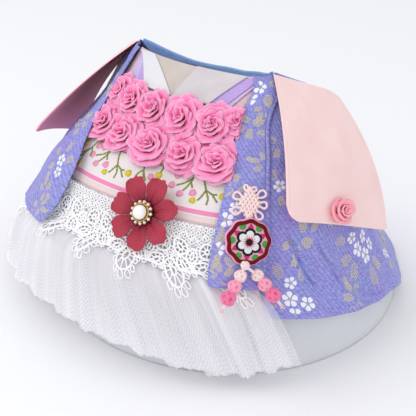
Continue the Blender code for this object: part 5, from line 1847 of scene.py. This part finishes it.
garnet_thread = stitched("garnet_thread", "#6e0512", "#a0101f")
blush_thread = stitched("blush_thread", "#eea9c4", "#fbd3e0")
white_thread = stitched("white_thread", "#e6e6ea", "#ffffff")
black_thread = stitched("black_thread", "#121013", "#2c272e")
magenta_thread = stitched("magenta_thread", "#bb1a55", "#ea4a82")
leaf_thread = stitched("leaf_green_thread", "#2d8a35", "#63c25c")

pendant_frame = frame_on(lambda a, b: lapel(1, a, b), *PENDANT_AT)


def dome_height(radius):
    """How high the pendant's face stands at a radius."""
    return 4.3 + 1.5 * (1 - (np.minimum(radius, PENDANT_RADIUS) / PENDANT_RADIUS) ** 2)


def nine_sided(turn, radius):
    """The rim is pulled out a little at nine places."""
    return 1 + 0.03 * np.cos(9 * turn) * (radius / PENDANT_RADIUS)


PENDANT_LIFT = LAPEL_WALL + 0.4
PENDANT_BACK = ((0, 0.4), (12.4, 0.4), (14.3, 1.0), (14.9, 2.0))
PENDANT_FACE = ((14.2, 3.3), (12.6, 4.4), (8, 5.1), (0, 5.7))
body_profile = PENDANT_BACK + PENDANT_FACE
pendant = turned("pendant_body", pendant_frame, body_profile, 144, blush_thread, PENDANT_LIFT, nine_sided)


def emblem(name, outlines, material, rise, puff):
    """Filled shapes on the pendant's dome, each puffed up at its middle as satin stitch is."""
    points, faces, marks = [], [], []
    count = 0
    for outline in outlines:
        outline = np.asarray(outline, float)
        middle = outline.mean(axis=0)
        rings = [middle + (outline - middle) * k for k in (1.0, 0.85, 0.55)]
        for ring, lift in zip([*rings, middle[None]], (-0.15, puff * 0.6, puff * 0.95, puff)):
            flat = np.atleast_2d(ring)
            away = np.linalg.norm(flat, axis=-1)
            points.append(np.concatenate([flat, (dome_height(away) + rise + lift)[:, None]], axis=-1))
            marks.append(stack(np.degrees(np.arctan2(flat[:, 0], flat[:, 1])) * 0.1, away))
        n = len(outline)
        faces += np.roll(grid_faces(3, n, count, wrap=True, flip=True), 1, axis=1).tolist()
        faces += [(count + 2 * n + k, count + 2 * n + (k + 1) % n, count + 3 * n) for k in range(n)]
        count += 3 * n + 1
    points = in_frame(pendant_frame, np.concatenate(points), PENDANT_LIFT)
    return mesh_object(name, points, faces, material, np.concatenate(marks))


def flower_edge(petals, inner, outer, steps):
    """The outline of a flower with round petals."""
    turn = 2 * math.pi * np.arange(steps) / steps
    reach = inner + (outer - inner) * np.abs(np.cos(petals / 2 * turn)) ** 0.7
    return round_line(turn, reach, 0)[:, :2]


def spoke_shapes(count, radius, length, width, first, kind):
    """Like shapes at equal turns: leaves, triangles that point outwards, or narrow rays."""
    shapes = []
    for k in range(count):
        turn = first + 2 * math.pi * k / count
        if kind == "leaf":
            around = 2 * math.pi * np.arange(12) / 12
            px = width / 2 * np.sin(around) * (1 + 0.25 * np.cos(around))
            py = radius + length / 2 * np.cos(around)
        elif kind == "triangle":
            px = np.array([-width / 2, -width / 4, 0, width / 4, width / 2, 0])
            py = radius + np.array([-length / 2, 0, length / 2, 0, -length / 2, -length / 2])
        else:
            px = np.array([-width / 2, 0, width / 2, 0])
            py = radius + np.array([-length / 2, length / 2, -length / 2, -length / 2])
        c, s = math.cos(turn), math.sin(turn)
        shapes.append(stack(px * c + py * s, -px * s + py * c))
    return shapes


RIM_SIDES = 90
rim_turn = np.linspace(0, 2 * math.pi, RIM_SIDES + 1)[:-1]
rim_lines = []
for radius, lift in ((13.3, 0.15), (12.7, 0.4), (12.1, 0.35)):
    reach = radius * (1 + 0.035 * np.cos(9 * rim_turn))
    ring = round_line(rim_turn, reach, dome_height(reach) - 0.35 + lift)
    rim_lines.append(in_frame(pendant_frame, ring, PENDANT_LIFT))
garnet_cord = {"Radius": 0.00068, "Sides": 6, "Material": garnet_thread}
pendant_pieces = [
    grown("pendant_garnet_rim", rim_lines, cord_tree, garnet_cord, closed=True),
    emblem("pendant_black_outline", [flower_edge(6, 6.9, 8.8, 96)], black_thread, 0.05, 0.25),
    emblem("pendant_white_flower", [flower_edge(6, 4.9, 7.5, 96)], white_thread, 0.25, 0.45),
    emblem("pendant_magenta_rays", spoke_shapes(18, 3.3, 3.2, 0.95, 0.1, "ray"), magenta_thread, 0.62, 0.2),
    emblem("pendant_black_heart", [flower_edge(9, 1.9, 2.5, 36)], black_thread, 0.72, 0.35),
    emblem("pendant_leaves", spoke_shapes(6, 10.0, 3.3, 4.4, 0.52, "leaf"), leaf_thread, 0.05, 0.35),
    emblem("pendant_triangles", spoke_shapes(6, 10.3, 3.2, 4.2, 0, "triangle"), magenta_thread, 0.05, 0.35),
]
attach(pendant, "root")
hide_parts("ornament_pendant")
for piece in pendant_pieces:
    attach(piece, "root")


def woven_ball(centre, radius, axis, turns, bights):
    """The line of a ball knot: one cord that winds round and weaves over and under itself."""
    along = np.linspace(0, 2 * math.pi, 40 * turns, endpoint=False)
    latitude = 1.18 * np.sin(bights * along)
    longitude = turns * along
    reach = radius * (0.80 + 0.07 * np.cos((2 * turns - 1) * bights * along))
    away = reach * np.cos(latitude)
    flat = stack(away * np.cos(longitude), away * np.sin(longitude), reach * np.sin(latitude))
    turn = np.array(Vector(axis).to_track_quat("Z", "Y").to_matrix())
    return np.asarray(centre) + flat @ turn.T


def with_core(ball, centre, radius, core_painted_shade):
    """Fills a ball knot with the cord's own inner turns, as one ball under the weave in a darker cord colour,
    painted shade.
    """
    ball.data.materials.append(core_painted_shade)
    bm = bmesh.new()
    bm.from_mesh(ball.data)
    before = set(bm.faces)
    place = Matrix.Translation(Vector(centre) * MM)
    bmesh.ops.create_icosphere(bm, subdivisions=3, radius=radius * MM, matrix=place)
    for face in bm.faces:
        if face not in before:
            face.material_index = 1
    bm.to_mesh(ball.data)
    bm.free()
    ball.data.shade_smooth()


BALL_RADII = (3.4, 3.8, 4.1)
BALL_GAP = 0.3
# The woven cord stands a little proud of a plain ball, and neighbours press into each other
BALL_SWELL = 1.14
# The cord's and the core's radius, as shares of the ball's
BALL_CORD, BALL_CORE = 0.255, 0.8
# Where each string's first and last ball lie: angle, station, how far out
STRINGS = {
    "right": ((40.4, 3.96, 15.6), (37.0, 4.42, 18.2)),
    "left": ((44.9, 3.95, 12.6), (48.1, 4.33, 15.5)),
}
END_LENGTH = 5.5
FRAYED_FIBRES, ROUTE_POINTS = 22, 24
CORD_DIAMETER = 0.0019
small_knot_at = in_frame(pendant_frame, (0.6, -14.6, 6.4), LAPEL_WALL)
small_knot = grown(
    "small_knot",
    [woven_ball(small_knot_at, 2.5, tuple(pendant_frame[2]), 3, 4)],
    cord_tree,
    {"Radius": 0.00095, "Sides": 8, "Material": pale_cord},
    closed=True,
)
with_core(small_knot, small_knot_at, 1.9, pale_painted_shade)
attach(small_knot, "root")
for hand, (first, last) in STRINGS.items():
    centre = lie(*first)
    along = lie(*last) - centre
    along /= np.linalg.norm(along)
    centres = [centre]
    for nearer, farther in zip(BALL_RADII, BALL_RADII[1:]):
        centres.append(centres[-1] + along * (nearer + farther + BALL_GAP))
    end = centres[-1] + along * (BALL_RADII[-1] + BALL_GAP + END_LENGTH)
    for number, (middle, radius) in enumerate(zip(centres, BALL_RADII)):
        cloth, core_painted_shade, slot = BALL_CORDS[number]
        ball = grown(
            f"ball_knot_{hand}_{number + 1}",
            [woven_ball(middle, radius * BALL_SWELL, tuple(along), 4, 5)],
            cord_tree,
            {"Radius": radius * BALL_SWELL * BALL_CORD * MM, "Sides": 7, "Material": cloth},
            closed=True,
        )
        with_core(ball, middle, radius * BALL_SWELL * BALL_CORE, core_painted_shade)
        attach(ball, "root")
        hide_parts(f"ball_{hand}_{number + 1}")
    luck = random.Random(5)
    fibres = []
    for _ in range(FRAYED_FIBRES):
        aside = np.array([luck.uniform(-1, 1) for _ in range(3)])
        root = end - along * 4.2
        steps = np.linspace(0, 1, 5)[:, None]
        reach = along * 4.6 * steps * luck.uniform(0.8, 1.05)
        fibres.append(root + reach + aside * (0.35 + 1.15 * steps**1.6))
    fibre = {"Radius": 0.00016, "Sides": 4, "Material": pale_cord}
    frayed = grown(f"frayed_end_{hand}", fibres, cord_tree, fibre)
    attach(frayed, "root")
    start = small_knot_at + along * 0.5
    keys = [start, mix(start, centres[0], 0.5) + pendant_frame[3] * 0.4, *centres, end - along * 2.0]
    lengths = np.concatenate([[0], np.cumsum([np.linalg.norm(b - a) for a, b in zip(keys, keys[1:])])])
    even = np.linspace(0, lengths[-1], ROUTE_POINTS)
    route = stack(*(np.interp(even, lengths, column) for column in zip(*keys)))
    thick = {"Radius": CORD_DIAMETER / 2, "Sides": 10, "Material": pale_cord}
    string = grown(f"cord_{hand}", [route], cord_tree, thick)
    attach(string, "root")
    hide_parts(f"cord_end_{hand}")
